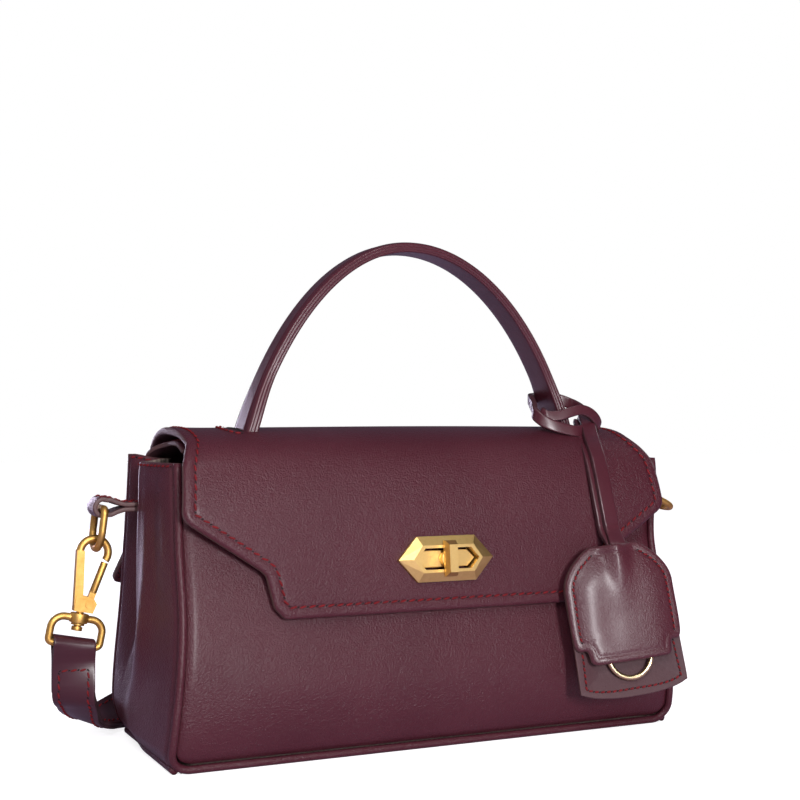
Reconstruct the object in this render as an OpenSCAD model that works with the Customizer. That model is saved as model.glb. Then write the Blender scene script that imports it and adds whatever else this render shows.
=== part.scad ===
// Mini top-handle bag with a flap, a turn lock, a clip-on strap and a leather key bell.
// X runs along the width, the front faces -Y, and Z is up from the floor.

/* [Body] */
// Width of the body between its side seams
body_w = 220; // [190:1:250]
// Height of the body's top edge above the floor
body_h = 118; // [105:1:130]
// Depth of the body at the floor
base_d = 82; // [76:1:90]
// Depth of the mouth
mouth_d = 56; // [52:1:60]
// How far the front and back swell past the base seam
swell = 13; // [8:0.5:15]
// Thickness of the body leather
leather_t = 2.2; // [1.8:0.1:2.6]
// Thickness of the lining
lining_t = 0.8; // [0.6:0.1:1.2]
// Radius of the panels' bottom corners
corner_r = 6; // [5:0.5:9]
// Diameter of the piping in the seams
piping_d = 3.2; // [2.6:0.1:3.8]

/* [Flap] */
// Height of the flap's crest above the floor
crest_h = 131; // [129:0.5:136]
// Thickness of the flap's outer leather
flap_t = 2; // [1.6:0.1:2.4]
// Thickness of the flap's inner leather
flap_lining_t = 1.3; // [1:0.1:1.6]
// Width of the flap at the crest
flap_crest_w = 206; // [180:1:210]
// Width of the flap at its two side corners
flap_w = 218; // [212:1:224]
// Width of the flap's straight lower edge
flap_tip_w = 143; // [130:1:160]
// Height of the flap's lower edge above the floor
flap_tip_z = 57; // [52:0.5:60]

/* [Handle] */
// Distance between the outer faces of the handle's feet
handle_span = 154; // [140:1:160]
// Height of the handle's highest point above the floor
handle_top = 212; // [190:1:225]
// Width of the handle strap
handle_w = 19; // [15:0.5:21]
// Thickness of the handle, padding and liner together
handle_t = 5.4; // [4.8:0.1:6]

/* [Turn lock] */
// Width of the lock's frame
lock_w = 43; // [38:0.5:46]
// Height of the lock's frame
lock_h = 18.4; // [17:0.2:20]
// Height of the lock's centre above the floor
lock_z = 77.5; // [75:0.5:80]
// Height of the turning bar
lock_bar_h = 14.5; // [13:0.5:16]

/* [Shoulder strap] */
// Width of the strap
strap_w = 17; // [15:0.5:19]
// Thickness of the strap
strap_t = 3; // [2.6:0.1:3.2]
// Length of each run of the folded strap behind the bag
strap_run = 176; // [150:2:190]

/* [Hardware] */
// Outer diameter of the side rings
ring_d = 19.4; // [18:0.2:22]
// Diameter of the rings' wire
wire_d = 3; // [2.6:0.1:3.2]
// Width of the side tabs
tab_w = 12; // [10:0.5:13]
// Thickness of the tab leather
tab_t = 1.9; // [1.6:0.1:2.1]

/* [Key bell] */
// Height of the bell's back leaf
bell_h = 63.4; // [58:0.2:68]
// Greatest width of the bell
bell_w = 47.6; // [44:0.2:54]
// Thickness of each bell leaf
bell_t = 1.8; // [1.4:0.1:2.2]
// Width of the bell's lace
lace_w = 7; // [5:0.5:8]
// Thickness of the lace
lace_t = 2.2; // [1.8:0.1:2.4]

/* [Hidden] */
$fn = 48;

// Colours
wine = "#4a1f2b";
wine_dark = "#3a1a22";
gold = "#c79a45";
pale_gold = "#d8bd84";
cloth = "#7a6a60";

// Clearances
seam_gap = 0.2;
slide_gap = 0.3;
cloth_gap = 0.35;
bore_gap = 0.06;
over = 1;
hair = 0.02;

// Steps along curves
steps = 14;
tube_sides = 8;

// Derived sizes of the body
half_w = body_w / 2;
piping_r = piping_d / 2;
panel_low = piping_d + seam_gap;
panel_inset = piping_d + seam_gap;
swell_share = 0.29;
waist_share = 0.68;
waist_y_share = 0.53;
board_t = 1.6;
floor_top = leather_t + seam_gap + board_t + seam_gap + lining_t;
panel_r = corner_r - panel_inset;

// Blends and curves
function mix(a, b, t) = a + (b - a) * t;
function bow(t) = sin(180 * t);
function ease(t) = t * t * (3 - 2 * t);
function cubic(p, t) = pow(1 - t, 3) * p[0] + 3 * t * pow(1 - t, 2) * p[1]
    + 3 * t * t * (1 - t) * p[2] + pow(t, 3) * p[3];
function slope(p, t) = 3 * (pow(1 - t, 2) * (p[1] - p[0]) + 2 * t * (1 - t) * (p[2] - p[1])
    + t * t * (p[3] - p[2]));
function unit(v) = v / norm(v);
function left_of(v) = [-v[1], v[0]];
function turned(list) = [for (i = [len(list) - 1:-1:0]) list[i]];
function both(list) = concat(list, [for (q = turned(list)) [-q[0], q[1]]]);
// Share of a curve at which its height is z, by halving
function share_at(p, z, lo = 0, hi = 1, n = 18) = n == 0 ? (lo + hi) / 2
    : let (m = (lo + hi) / 2) (cubic(p, m)[1] < z) == (p[3][1] > p[0][1])
    ? share_at(p, z, m, hi, n - 1) : share_at(p, z, lo, m, n - 1);
function curve(p, shift, n = steps, from = 0, to = 1) = [for (i = [0:n])
    let (t = mix(from, to, i / n)) cubic(p, t) + shift * left_of(unit(slope(p, t)))];

// Outer face of the front panel in depth and height, from the base seam to the mouth
wall = [[-base_d / 2, panel_low], [-base_d / 2 - swell, swell_share * body_h],
    [-base_d / 2 + (base_d - mouth_d) / 2 * waist_y_share, waist_share * body_h],
    [-mouth_d / 2, body_h]];

function height_share(z) = share_at(wall, z);
function wall_at(t) = cubic(wall, t);
function back_face(z) = -wall_at(height_share(z))[0];

// Solid between matching rings, each an even number of points round one section
module sweep(rings, loop = false) {
    m = len(rings[0]);
    n = len(rings);
    span = loop ? n : n - 1;
    sides = [for (i = [0:span - 1], j = [0:m - 1]) let (
        a = i * m + j, b = i * m + (j + 1) % m,
        c = ((i + 1) % n) * m + (j + 1) % m, d = ((i + 1) % n) * m + j)
        each [[a, c, b], [a, d, c]]];
    ends = loop ? [] : [for (j = [0:m / 2 - 2], e = [0, 1]) let (
        a = e * (n - 1) * m + j, b = a + 1,
        c = e * (n - 1) * m + m - 2 - j, d = c + 1)
        each e == 0 ? [[a, b, c], [a, c, d]] : [[a, c, b], [a, d, c]]];
    polyhedron([for (r = rings) each r], concat(sides, ends), convexity = 8);
}

// Flat band of width w and thickness t along points, each with its width direction
function along(points, i) = let (n = len(points))
    unit(points[min(i + 1, n - 1)] - points[max(i - 1, 0)]);
function band_rings(points, widths, w, t) = [for (i = [0:len(points) - 1]) let (
    side = unit(widths[i]), up = unit(cross(along(points, i), side)),
    a = side * w / 2, b = up * t / 2)
    [points[i] - a - b, points[i] + a - b, points[i] + a + b, points[i] - a + b]];
module band(points, widths, w, t) sweep(band_rings(points, widths, w, t));

// Tube of radius r along points, with one side direction that no stretch follows
function tube_rings(points, r, side) = [for (i = [0:len(points) - 1]) let (
    way = along(points, i), a = unit(cross(way, side)), b = cross(way, a))
    [for (k = [0:tube_sides - 1]) points[i]
        + r * (a * cos(360 * k / tube_sides) + b * sin(360 * k / tube_sides))]];

// Plate of a profile in depth and height, drawn along the width
module across(x0, x1) translate([x0, 0, 0]) rotate([90, 0, 90]) linear_extrude(x1 - x0)
    children();

// Plate of an outline in width and height, drawn along the depth
module through(y0, y1) translate([0, y1, 0]) rotate([90, 0, 0]) linear_extrude(y1 - y0)
    children();

// Outline of a panel: straight top, rounded bottom corners
module panel_outline(half, low, high, r) {
    for (s = [-1, 1]) translate([s * (half - r), low + r]) circle(r);
    translate([-half, low + r]) square([2 * half, high - low - r]);
    translate([-half + r, low]) square([2 * (half - r), r]);
}

// Wall sheet between two offsets inwards from the outer face, front or back
module wall_profile(from, to) polygon(concat(curve(wall, -from), turned(curve(wall, -to))));

// Base
module base_panel() {
    color(wine_dark) translate([-half_w + corner_r, -base_d / 2 + piping_d + seam_gap, 0])
        cube([body_w - 2 * corner_r, base_d - 2 * (piping_d + seam_gap), leather_t]);
}

board_inset = leather_t + seam_gap;
module base_board() {
    color(cloth) translate([-half_w + corner_r, -base_d / 2 + piping_d + board_inset,
        leather_t + seam_gap])
        cube([body_w - 2 * corner_r, base_d - 2 * (piping_d + board_inset), board_t]);
}

// Front panel
module front_panel() {
    color(wine) intersection() {
        across(-half_w, half_w) wall_profile(0, leather_t);
        through(-base_d, 0) panel_outline(half_w - panel_inset, panel_low,
            body_h + over, panel_r);
    }
}

// Back panel, with the slot of its zip
zip_z = 89;
zip_end = 5.75;
zip_len = body_w - 2 * zip_end;
zip_slot_h = 7;
module back_panel() {
    color(wine) difference() {
        intersection() {
            mirror([0, 1, 0]) across(-half_w, half_w) wall_profile(0, leather_t);
            through(0, base_d) panel_outline(half_w - panel_inset, panel_low,
                body_h + over, panel_r);
        }
        translate([-zip_len / 2, 0, zip_z - zip_slot_h / 2])
            cube([zip_len, base_d, zip_slot_h]);
    }
}

// Side gussets: a rounded-U strip that swells in front, folds in behind and turns under
fold_in = 11;
gusset_swell = 4.5;
gusset_rows = 13;
lip_share = 0.62;
fold_share = 0.74;
gusset_shares = [0, 0.1, 0.22, 0.36, 0.5, 0.59, lip_share + 0.03, 0.7, fold_share, 0.79,
    0.87, 0.94, 1];
function fold_shape(v) = v < lip_share ? gusset_swell * sin(90 * pow(v / lip_share, 0.8))
    : v < fold_share ? mix(gusset_swell, -fold_in, ease((v - lip_share) / (fold_share - lip_share)))
    : mix(-fold_in, 0, sin(90 * (v - fold_share) / (1 - fold_share)));
function gusset_row(k, inward) = let (
    corner_rows = 3,
    in_corner = k <= corner_rows,
    turn = 90 * (corner_rows - k) / corner_rows,
    rise = in_corner ? corner_r - corner_r * sin(turn)
        : mix(corner_r, body_h, (k - corner_rows) / (gusset_rows - corner_rows)),
    x = in_corner ? half_w - corner_r + corner_r * cos(turn) : half_w,
    t = height_share(max(rise, panel_low)),
    y = wall_at(t)[0],
    strength = ease(min(1, max(0, (rise - corner_r / 2) / (body_h * 0.7)))),
    fall = in_corner ? sin(turn) : 0,
    depth = -y - piping_d - seam_gap)
    [for (v = gusset_shares) let (
        push = in_corner ? 0.25 * gusset_swell * bow(v) * (1 - fall) : mix(
            0.6 * gusset_swell * bow(v), fold_shape(v), strength) ,
        reach = x - inward * (1 - fall) + push)
        [reach, mix(-depth, depth, v), rise + inward * fall]];
module gusset(inset, t) {
    sweep([for (k = [0:gusset_rows]) concat(gusset_row(k, inset + t),
        turned(gusset_row(k, inset)))]);
}
module gusset_side() {
    color(wine) difference() {
        gusset(0, leather_t);
        tab_slab(slit_gap) tab_outline(slit_gap);
    }
}
module gusset_right() { gusset_side(); }
module gusset_left() { mirror([1, 0, 0]) gusset_side(); }

// Piping round the front and back panels
piping_turns = 6;
piping_rises = 12;
function piping_side(s) = [for (i = [0:piping_rises]) let (
    z = mix(body_h, corner_r, i / piping_rises),
    y = wall_at(height_share(z))[0])
    [s * (half_w - piping_r), y + piping_r, z]];
function piping_corner(s) = [for (i = [1:piping_turns]) let (
    a = 90 * i / piping_turns, r = corner_r - piping_r,
    z = corner_r - r * sin(a), y = wall_at(height_share(max(z, panel_low)))[0])
    [s * (half_w - corner_r + r * cos(a)), y + piping_r, z]];
module piping() {
    right = concat(piping_side(1), piping_corner(1));
    left = turned(concat(piping_side(-1), piping_corner(-1)));
    sweep(tube_rings(concat(right, left), piping_r, [0, 1, 0]));
}
module piping_front() { color(wine_dark) piping(); }
module piping_back() { color(wine_dark) mirror([0, 1, 0]) piping(); }

// Lining: front, back and floor sheets, and one for each gusset
lining_in = leather_t + cloth_gap;
lining_half = half_w - fold_in - leather_t - 2 * lining_t;
lining_drop = 1.5;
pocket_t = 0.5;
pocket_in = leather_t + cloth_gap;
pocket_depth = 3 * pocket_t;
module lining_sheet(from) {
    intersection() {
        across(-lining_half, lining_half) wall_profile(from, from + lining_t);
        through(-base_d, 0) panel_outline(lining_half, floor_top + seam_gap - over,
            body_h - lining_drop, corner_r);
    }
}
module lining() {
    color(cloth) {
        lining_sheet(lining_in);
        mirror([0, 1, 0]) lining_sheet(pocket_in + pocket_depth + cloth_gap);
        translate([-lining_half, -base_d / 2 + piping_d + board_inset,
            floor_top - lining_t])
            cube([2 * lining_half, base_d - 2 * (piping_d + board_inset), lining_t]);
    }
}

// Flap: its outer face in depth and height, from the back seam over the crest to the tip
hinge_in = 2;
hinge_drop = 5;
back_seam_z = 100;
seam_bulge = 2.4;
flap_rest = 1.4;
hinge_gap_share = 0.009;
crest_shares = [0.964, 0.286, -0.214, -0.607];
seam_rise_share = 0.58;
brow_share = 0.9;
drop_y_shares = [0.944, 0.923];
drop_z_shares = [0.87, 0.406];
flap_all_t = flap_t + flap_lining_t;
hinge = [-mouth_d / 2 + hinge_in, crest_h - hinge_drop];
tip_y = -back_face(flap_tip_z) - flap_all_t - flap_rest;
back_seam_y = back_face(back_seam_z) + flap_all_t + seam_gap;
crest_y = crest_shares * mouth_d / 2;
rear_low = [[back_seam_y, back_seam_z],
    [back_seam_y + seam_bulge, mix(back_seam_z, crest_h, seam_rise_share)],
    [crest_y[0], crest_h], [crest_y[1], crest_h]];
rear_high = [[crest_y[1], crest_h], [crest_y[2], crest_h],
    [crest_y[3], mix(hinge[1], crest_h, brow_share)], hinge];
drop = [hinge, [tip_y * drop_y_shares[0], mix(flap_tip_z, hinge[1], drop_z_shares[0])],
    [tip_y * drop_y_shares[1], mix(flap_tip_z, hinge[1], drop_z_shares[1])],
    [tip_y, flap_tip_z]];
function flap_face(z) = cubic(drop, share_at(drop, z))[0];

// Outline of the flap from the front
corner_z = 96;
shoulder_in = 2.2;
shoulder_z = 117;
notch_z = 74.5;
notch_half = 76.5;
tip_r = 4;
module flap_outline(inset = 0) {
    crest = flap_crest_w / 2 - inset;
    wide = flap_w / 2 - inset;
    shoulder = wide - shoulder_in;
    notch = notch_half - inset;
    tip = flap_tip_w / 2 - inset;
    low = flap_tip_z + inset;
    polygon(both([[crest, crest_h + over], [crest, hinge[1]], [shoulder, shoulder_z],
        [wide, corner_z], [notch, notch_z + inset], [tip + tip_r / 2, low + tip_r],
        [tip - 0.75 * tip_r, low]]));
}

// Slots in the flap and the bridge for the handle's feet
foot_y = -7.5;
foot_slack = 0.7;
slot_lean = 3.6;
slot_low_share = 0.8;
slot_h_share = 0.5;
foot_x = handle_span / 2 - handle_t / 2;
module foot_slots() {
    for (s = [0, 1]) mirror([s, 0, 0]) translate([foot_x - handle_t / 2 - slot_lean,
        foot_y - handle_w / 2 - foot_slack, slot_low_share * body_h])
        cube([handle_t + slot_lean + foot_slack, handle_w + 2 * foot_slack,
            slot_h_share * body_h]);
}

module flap_rear() {
    half = flap_crest_w / 2;
    color(wine) difference() {
        across(-half, half) polygon(concat(curve(rear_low, 0), curve(rear_high, 0,
            to = 1 - hinge_gap_share), turned(curve(rear_high, flap_all_t,
            to = 1 - hinge_gap_share)), turned(curve(rear_low, flap_all_t))));
        foot_slots();
    }
}

// Bridge under the crest that carries the handle
bridge_gap = 0.8;
bridge_t = 2.4;
bridge_in = 1;
bridge_half = flap_crest_w / 2 - bridge_in;
bridge_from = flap_all_t + bridge_gap;
bridge_start_share = 0.57;
bridge_end_share = 0.8;
module handle_bridge() {
    color(wine_dark) difference() {
        across(-bridge_half, bridge_half) polygon(concat(
            curve(rear_low, bridge_from, from = bridge_start_share),
            curve(rear_high, bridge_from, to = bridge_end_share),
            turned(curve(rear_high, bridge_from + bridge_t, to = bridge_end_share)),
            turned(curve(rear_low, bridge_from + bridge_t, from = bridge_start_share))));
        foot_slots();
    }
}

// Stitched leather patches under the bridge, round the handle's feet
module bridge_patches() {
    patch_t = 1.8;
    patch_gap = 2.5;
    border_x = 7;
    border_y = 3;
    w = handle_t + 2 * border_x;
    d = handle_w + 2 * border_y;
    color(wine_dark) difference() {
        for (s = [-1, 1]) translate([s * foot_x - w / 2, foot_y - d / 2,
            crest_h - bridge_from - bridge_t - patch_gap - patch_t])
            cube([w, d, patch_t]);
        foot_slots();
    }
}

// Handle: the outer line of its arch, from the left foot to the right
foot_sink = 13;
foot_lean = 10;
arch_rise_share = 0.52;
foot_low = crest_h - foot_sink;
arch = [[-handle_span / 2, foot_low],
    [-handle_span / 2 + foot_lean, mix(foot_low, handle_top, arch_rise_share)],
    [-handle_span / 4, handle_top], [0, handle_top]];
liner_t = 1.4;
liner_gap = 0.05;
handle_steps = 16;
handle_crown = 1.3;
liner_crown = 0.01;
ring_shares = [-1, -0.86, -0.45, 0.45, 0.86, 1];
function arch_half(shift) = [for (i = [0:handle_steps]) let (t = i / handle_steps)
    cubic(arch, t) - shift * left_of(unit(slope(arch, t)))];
function arch_line(shift) = let (h = arch_half(shift))
    concat(h, [for (i = [len(h) - 2:-1:0]) [-h[i][0], h[i][1]]]);
// Ring across the strap: outer side crowned, inner side flat
function handle_ring(outer, inner, crown) = [for (k = [0:len(outer) - 1]) let (
    o = outer[k], n = inner[k], up = unit(o - n), w = handle_w / 2)
    [for (s = ring_shares) let (
        high = crown * (1 - pow(abs(s), 3)) - crown)
        [o[0] + up[0] * high, foot_y + s * w, o[1] + up[1] * high],
     for (s = turned(ring_shares)) [n[0], foot_y + s * w, n[1]]]];
module handle() {
    color(wine) sweep([for (r = handle_ring(arch_line(0), arch_line(handle_t - liner_t
        - liner_gap), handle_crown)) turned(r)]);
}
module handle_liner() {
    color(wine) sweep([for (r = handle_ring(arch_line(handle_t - liner_t),
        arch_line(handle_t), liner_crown)) turned(r)]);
}

// Turn lock, drawn flat with its face towards -Y, then tilted with the flap
lock_proud = 0.25;
frame_t = 3.6;
frame_rim_t = 1.5;
window_half = 14;
window_h = 8.6;
bezel_x = 1.6;
bezel_z = 1.2;
hole_slack = 0.5;
hole_border = 2.7;
base_half = 13.3;
base_h = 6.8;
base_reach = 0.8;
frame_flat_share = 0.61;
window_flat_share = 0.74;
lock_y = flap_face(lock_z) - lock_proud;
lock_way = slope(drop, share_at(drop, lock_z));
lock_tilt = atan(lock_way[0] / lock_way[1]);
module lock_at() translate([0, lock_y, lock_z]) rotate([-lock_tilt, 0, 0]) children();
module hex_outline(w, h, flat_share) polygon([[-w / 2, 0], [-w / 2 * flat_share, h / 2],
    [w / 2 * flat_share, h / 2], [w / 2, 0], [w / 2 * flat_share, -h / 2],
    [-w / 2 * flat_share, -h / 2]]);
module lock_frame() {
    color(gold) lock_at() difference() {
        union() {
            through(-frame_rim_t, 0) hex_outline(lock_w, lock_h, frame_flat_share);
            hull() {
                through(-frame_rim_t - hair, -frame_rim_t) hex_outline(lock_w, lock_h,
                    frame_flat_share);
                through(-frame_t, -frame_t + hair) hex_outline(2 * (window_half + bezel_x),
                    window_h + 2 * bezel_z, window_flat_share);
            }
        }
        through(-frame_t - over, over) hex_outline(2 * window_half, window_h,
            window_flat_share);
    }
}

// Cut of the lock through the flap, and the washer behind it
washer_t = 0.8;
washer_gap = 0.9;
washer_in = [2, 1.5];
module hole_outline() hex_outline(2 * (window_half + hole_slack), lock_h - 2 * hole_border,
    window_flat_share);
module lock_washer() {
    back = flap_all_t + washer_gap;
    color(gold) lock_at() difference() {
        through(back, back + washer_t) hex_outline(lock_w - 2 * washer_in[0],
            lock_h - 2 * washer_in[1], frame_flat_share);
        through(0, back + washer_t + over) hole_outline();
    }
}
module lock_hole() lock_at() through(-over, flap_all_t + washer_gap + over) hole_outline();

// Boss on the front panel that the frame drops over
module lock_base() {
    reach = 2 * flap_all_t;
    color(gold) difference() {
        lock_at() through(-base_reach, reach) hex_outline(2 * base_half, base_h,
            window_flat_share);
        across(-half_w, half_w) polygon(concat(curve(wall, hair), [[0, body_h], [0, 0]]));
    }
}
plate_in = [3, 2];
module lock_backplate() {
    color(gold) intersection() {
        across(-lock_w / 2, lock_w / 2) wall_profile(leather_t + hair,
            leather_t + cloth_gap - hair);
        through(-base_d, 0) translate([0, lock_z]) square([lock_w - 2 * plate_in[0],
            lock_h - 2 * plate_in[1]], center = true);
    }
}

// Bar and its neck, which turn about the lock's axis
bar_w = 5;
neck_r = 3.2;
bar_heel_t = 1.6;
bar_t = 4.4;
bar_bevel = 0.7;
bar_slant = 1.7;
module lock_bar() {
    start = base_reach + slide_gap;
    heel = frame_t + slide_gap;
    color(gold) lock_at() {
        rotate([90, 0, 0]) translate([0, 0, start]) cylinder(r = neck_r,
            h = heel - start + hair);
        hull() {
            through(-heel - bar_heel_t, -heel) square([bar_w, lock_bar_h], center = true);
            through(-heel - bar_t, -heel - bar_t + hair)
                square([bar_w - 2 * bar_bevel, lock_bar_h - 2 * bar_slant], center = true);
        }
    }
}

module flap_front() {
    color(wine) difference() {
        intersection() {
            across(-flap_w / 2, flap_w / 2) polygon(concat(
                curve(drop, 0, from = hinge_gap_share),
                turned(curve(drop, flap_t, from = hinge_gap_share))));
            through(-base_d, 0) flap_outline();
        }
        lock_hole();
    }
}
module flap_lining() {
    color(wine_dark) difference() {
        intersection() {
            across(-flap_w / 2, flap_w / 2) polygon(concat(
                curve(drop, flap_t + hair, from = hinge_gap_share),
                turned(curve(drop, flap_all_t, from = hinge_gap_share))));
            through(-base_d, 0) flap_outline(hair);
        }
        lock_hole();
    }
}

// Pocket behind the back panel: a closed cloth bag open at the zip
tape_h = 24;
tape_in = leather_t + hair;
tape_t = cloth_gap - 2 * hair;
pocket_low = 24;
pocket_hem = 2;
module pocket_part(from, to, low, high) intersection() {
    wall_profile(from, to);
    translate([-base_d, low]) square([2 * base_d, high - low]);
}
module back_pocket() {
    inner = pocket_in + pocket_depth - pocket_t;
    color(cloth) mirror([0, 1, 0]) across(-zip_len / 2 + pocket_hem, zip_len / 2 - pocket_hem) {
        pocket_part(pocket_in, pocket_in + pocket_t, pocket_low,
            zip_z - tape_h / 2 + pocket_hem);
        pocket_part(inner, inner + pocket_t, pocket_low, zip_z + tape_h / 2);
        pocket_part(pocket_in, inner + pocket_t, pocket_low, pocket_low + 2 * pocket_t);
    }
}

// Zip tapes, with a slit between them, and the teeth on their edges
module zip_tapes() {
    slit = 1.2;
    tape_over = 1;
    color(wine_dark) difference() {
        mirror([0, 1, 0]) intersection() {
            across(-zip_len / 2 - tape_over, zip_len / 2 + tape_over) wall_profile(tape_in,
                tape_in + tape_t);
            through(-base_d, 0) translate([0, zip_z]) square([2 * zip_len, tape_h],
                center = true);
        }
        translate([-zip_len, 0, zip_z - slit / 2]) cube([2 * zip_len, base_d, slit]);
    }
}

// Frame on the zip's line: y is outwards from the back panel's face
zip_lean = atan((back_face(zip_z - zip_slot_h / 2) - back_face(zip_z + zip_slot_h / 2))
    / zip_slot_h);
module zip_at() translate([0, back_face(zip_z), zip_z]) rotate([zip_lean, 0, 0]) children();
tooth_pitch = 3;
tooth_w_share = 0.32;
tooth_half = 2.1;
tooth_root = 0.8;
tooth_over = 0.35;
tooth_sink = 0.9;
tooth_floor = 0.12;
teeth_in = 1;
tooth_top = -tooth_sink;
tooth_low = -leather_t + tooth_floor;
teeth_half = zip_len / 2 - teeth_in;
teeth_count = floor(2 * teeth_half / tooth_pitch) - 1;
module zip_comb(shift) polygon([for (i = [0:teeth_count - 1]) let (
    x = -teeth_half + shift + i * tooth_pitch, w = tooth_w_share * tooth_pitch)
    each [[x, tooth_root], [x, -tooth_over], [x + w, -tooth_over], [x + w, tooth_root]],
    [-teeth_half + shift + teeth_count * tooth_pitch, tooth_root],
    [-teeth_half + shift + teeth_count * tooth_pitch, tooth_half],
    [-teeth_half + shift, tooth_half]]);
module zip_teeth() {
    color(pale_gold) zip_at() {
        through(tooth_low, tooth_top) zip_comb(0);
        through(tooth_low, tooth_top) mirror([0, 1]) zip_comb(tooth_pitch / 2);
    }
}

// Slider over the teeth, with a headed post for the puller's ring
slider_in = 4.25;
slider_x = slider_in - zip_len / 2;
slider_l = 8;
slider_t = 1.4;
slider_wall = 0.7;
post_back = 2.6;
post_x = slider_x - post_back;
post_r = 0.7;
post_top = 2.6;
post_head_t = 0.6;
module zip_slider() {
    half = tooth_half + slide_gap + slider_wall;
    color(pale_gold) zip_at() {
        translate([slider_x - slider_l / 2, tooth_top + slide_gap, -half])
            cube([slider_l, slider_t, 2 * half]);
        for (s = [-1, 1]) translate([slider_x - slider_l / 2, tooth_low + slide_gap,
            s * (half - slider_wall / 2) - slider_wall / 2])
            cube([slider_l, slider_t, slider_wall]);
        translate([post_x, 0, 0]) rotate([-90, 0, 0]) cylinder(r = post_r, h = post_top);
        translate([post_x, post_top, 0]) rotate([-90, 0, 0]) cylinder(r = 2 * post_r,
            h = post_head_t);
    }
}

// Ring on the post and the leather puller folded round it
pull_wire_r = 0.65;
pull_ring_r = 3.4;
pull_lean = 8;
pull_turn = 32;
pull_tab_turn = 18;
pull_tab_l = 24;
pull_tab_w = 6;
pull_tab_t = 3;
pull_gap = 0.25;
pull_seat = 1.6;
module pull_at() zip_at() translate([post_x, post_top - pull_wire_r - pull_gap, 0])
    rotate([pull_lean, 0, 0]) children();
module pull_ring(r) rotate([0, pull_turn, 0]) translate([0, 0, -pull_ring_r + pull_wire_r
    + post_r + bore_gap]) rotate([90, 0, 0]) rotate_extrude() translate([pull_ring_r, 0])
    circle(r);
module zip_ring() { color(pale_gold) pull_at() pull_ring(pull_wire_r); }
module zip_puller() {
    drop_l = 2 * pull_ring_r - pull_wire_r;
    color(wine) pull_at() difference() {
        rotate([0, pull_turn, 0]) translate([0, 0, -drop_l + pull_seat]) rotate([0,
            pull_tab_turn - pull_turn, 0]) rotate([90, 0, 90]) translate([0, 0,
            -pull_tab_w / 2]) linear_extrude(pull_tab_w) hull() {
                translate([0, -pull_tab_t / 2]) circle(pull_tab_t / 2);
                translate([0, -pull_tab_l]) circle(pull_tab_t / 2);
            }
        pull_ring(pull_wire_r + bore_gap);
    }
}

// Side tabs: a strip that leaves the gusset's fold, rounds the ring and comes back
chain_y = 15;
tab_z = 98.5;
tab_root = 3;
tab_reach = 17.2;
loop_slack = 0.9;
slit_from = 8;
tab_right_out = 11;
tab_x0 = half_w - tab_root;
loop_x = half_w + tab_reach;
wire_r = wire_d / 2;
loop_in = wire_r + loop_slack;
slit_gap = 0.15;
module tab_outline(grow = 0, out = 0) hull() {
    translate([loop_x + out, 0]) circle(loop_in + tab_t + grow);
    translate([tab_x0 - grow, -tab_t - grow]) square([tab_t, 2 * (tab_t + grow)]);
}
module tab_slab(grow = 0) translate([0, chain_y, 0])
    through(-tab_w / 2 - grow, tab_w / 2 + grow) translate([0, tab_z]) children();
module tab(out = 0) {
    color(wine_dark) tab_slab() difference() {
        tab_outline(out = out);
        hull() {
            translate([loop_x + out, 0]) circle(loop_in);
            translate([tab_x0 + slit_from, -hair]) square([hair, 2 * hair]);
        }
    }
}
module tab_right() { tab(tab_right_out); }
module tab_left() { mirror([1, 0, 0]) tab(); }

// Wire bent to a D in width and height: bar on top at zero, round end below
module bend(x, z, r, from) translate([x, 0, z]) rotate([90, 0, 0]) rotate([0, 0, from])
    rotate_extrude(angle = 90) translate([r, 0]) circle(wire_r);
module rod(x0, z0, x1, z1) translate([x0, 0, z0]) rotate([0, atan2(x1 - x0, z1 - z0), 0])
    cylinder(r = wire_r, h = norm([x1 - x0, z1 - z0]));
module wire_dee(a, h, rb, ra) {
    bend(a - rb, -rb, rb, 0);
    bend(-a + rb, -rb, rb, 90);
    bend(-a + ra, -h + ra, ra, 180);
    bend(a - ra, -h + ra, ra, 270);
    rod(-a + rb, 0, a - rb, 0);
    rod(a, -h + ra, a, -rb);
    rod(-a, -h + ra, -a, -rb);
    if (ra < a) rod(-a + ra, -h, a - ra, -h);
}

// Side rings on the tabs
ring_room = 2.2;
ring_sink = 0.5;
ring_corner = 2;
ring_half = tab_w / 2 + ring_room;
ring_drop = ring_d - wire_d;
ring_left_lean = 6.7;
ring_right_lean = -65;
module side_ring(x, lean) translate([x, chain_y, tab_z - ring_sink]) rotate([0, lean, 0])
    rotate([0, 0, 90]) wire_dee(ring_half, ring_drop, ring_corner, ring_half - ring_sink);
module ring_left() { color(gold) side_ring(-loop_x, ring_left_lean); }
module ring_right() {
    color(gold) side_ring(loop_x + tab_right_out, ring_right_lean);
}

// Snap hook: spine, bow, base with the gate's slot, and the swivel post; collar at zero
bow_x = 0.8;
bow_z = 26.9;
bow_r = 5.7;
bow_wire_r = 1.6;
bow_turn = 205;
bow_start = 25;
hook_t = 3.6;
block_t = 5;
foot_back = 3;
foot_front = 4.6;
cheek = 3;
gate_x = 2.6;
gate_z = 6;
gate_lean = 10.5;
gate_l = 17.9;
gate_t = 3;
gate_root = 4.9;
tongue_t = 2.2;
tongue_w = 2.6;
tongue_seat = 0.5;
knuckle_r = 1.9;
slot_x = 0.2;
slot_floor = 0.9;
pin_r = 1.1;
rivet_head_r = 1.7;
rivet_head_t = 0.5;
rivet_gap = 0.05;
swivel_r = 1.5;
swivel_l = 5;
stud_r = 2.2;
stud_h = 1.5;
collar_r = 2.7;
collar_h = 0.6;
boss_h = 3.8;
boss_r = 3.7;
hook_neck = 0.8;
hook_low = boss_h / 2 + hook_neck;
module gate_bore() translate([gate_x, 0, gate_z]) rotate([90, 0, 0])
    cylinder(r = pin_r + bore_gap, h = 2 * block_t, center = true);
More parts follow.
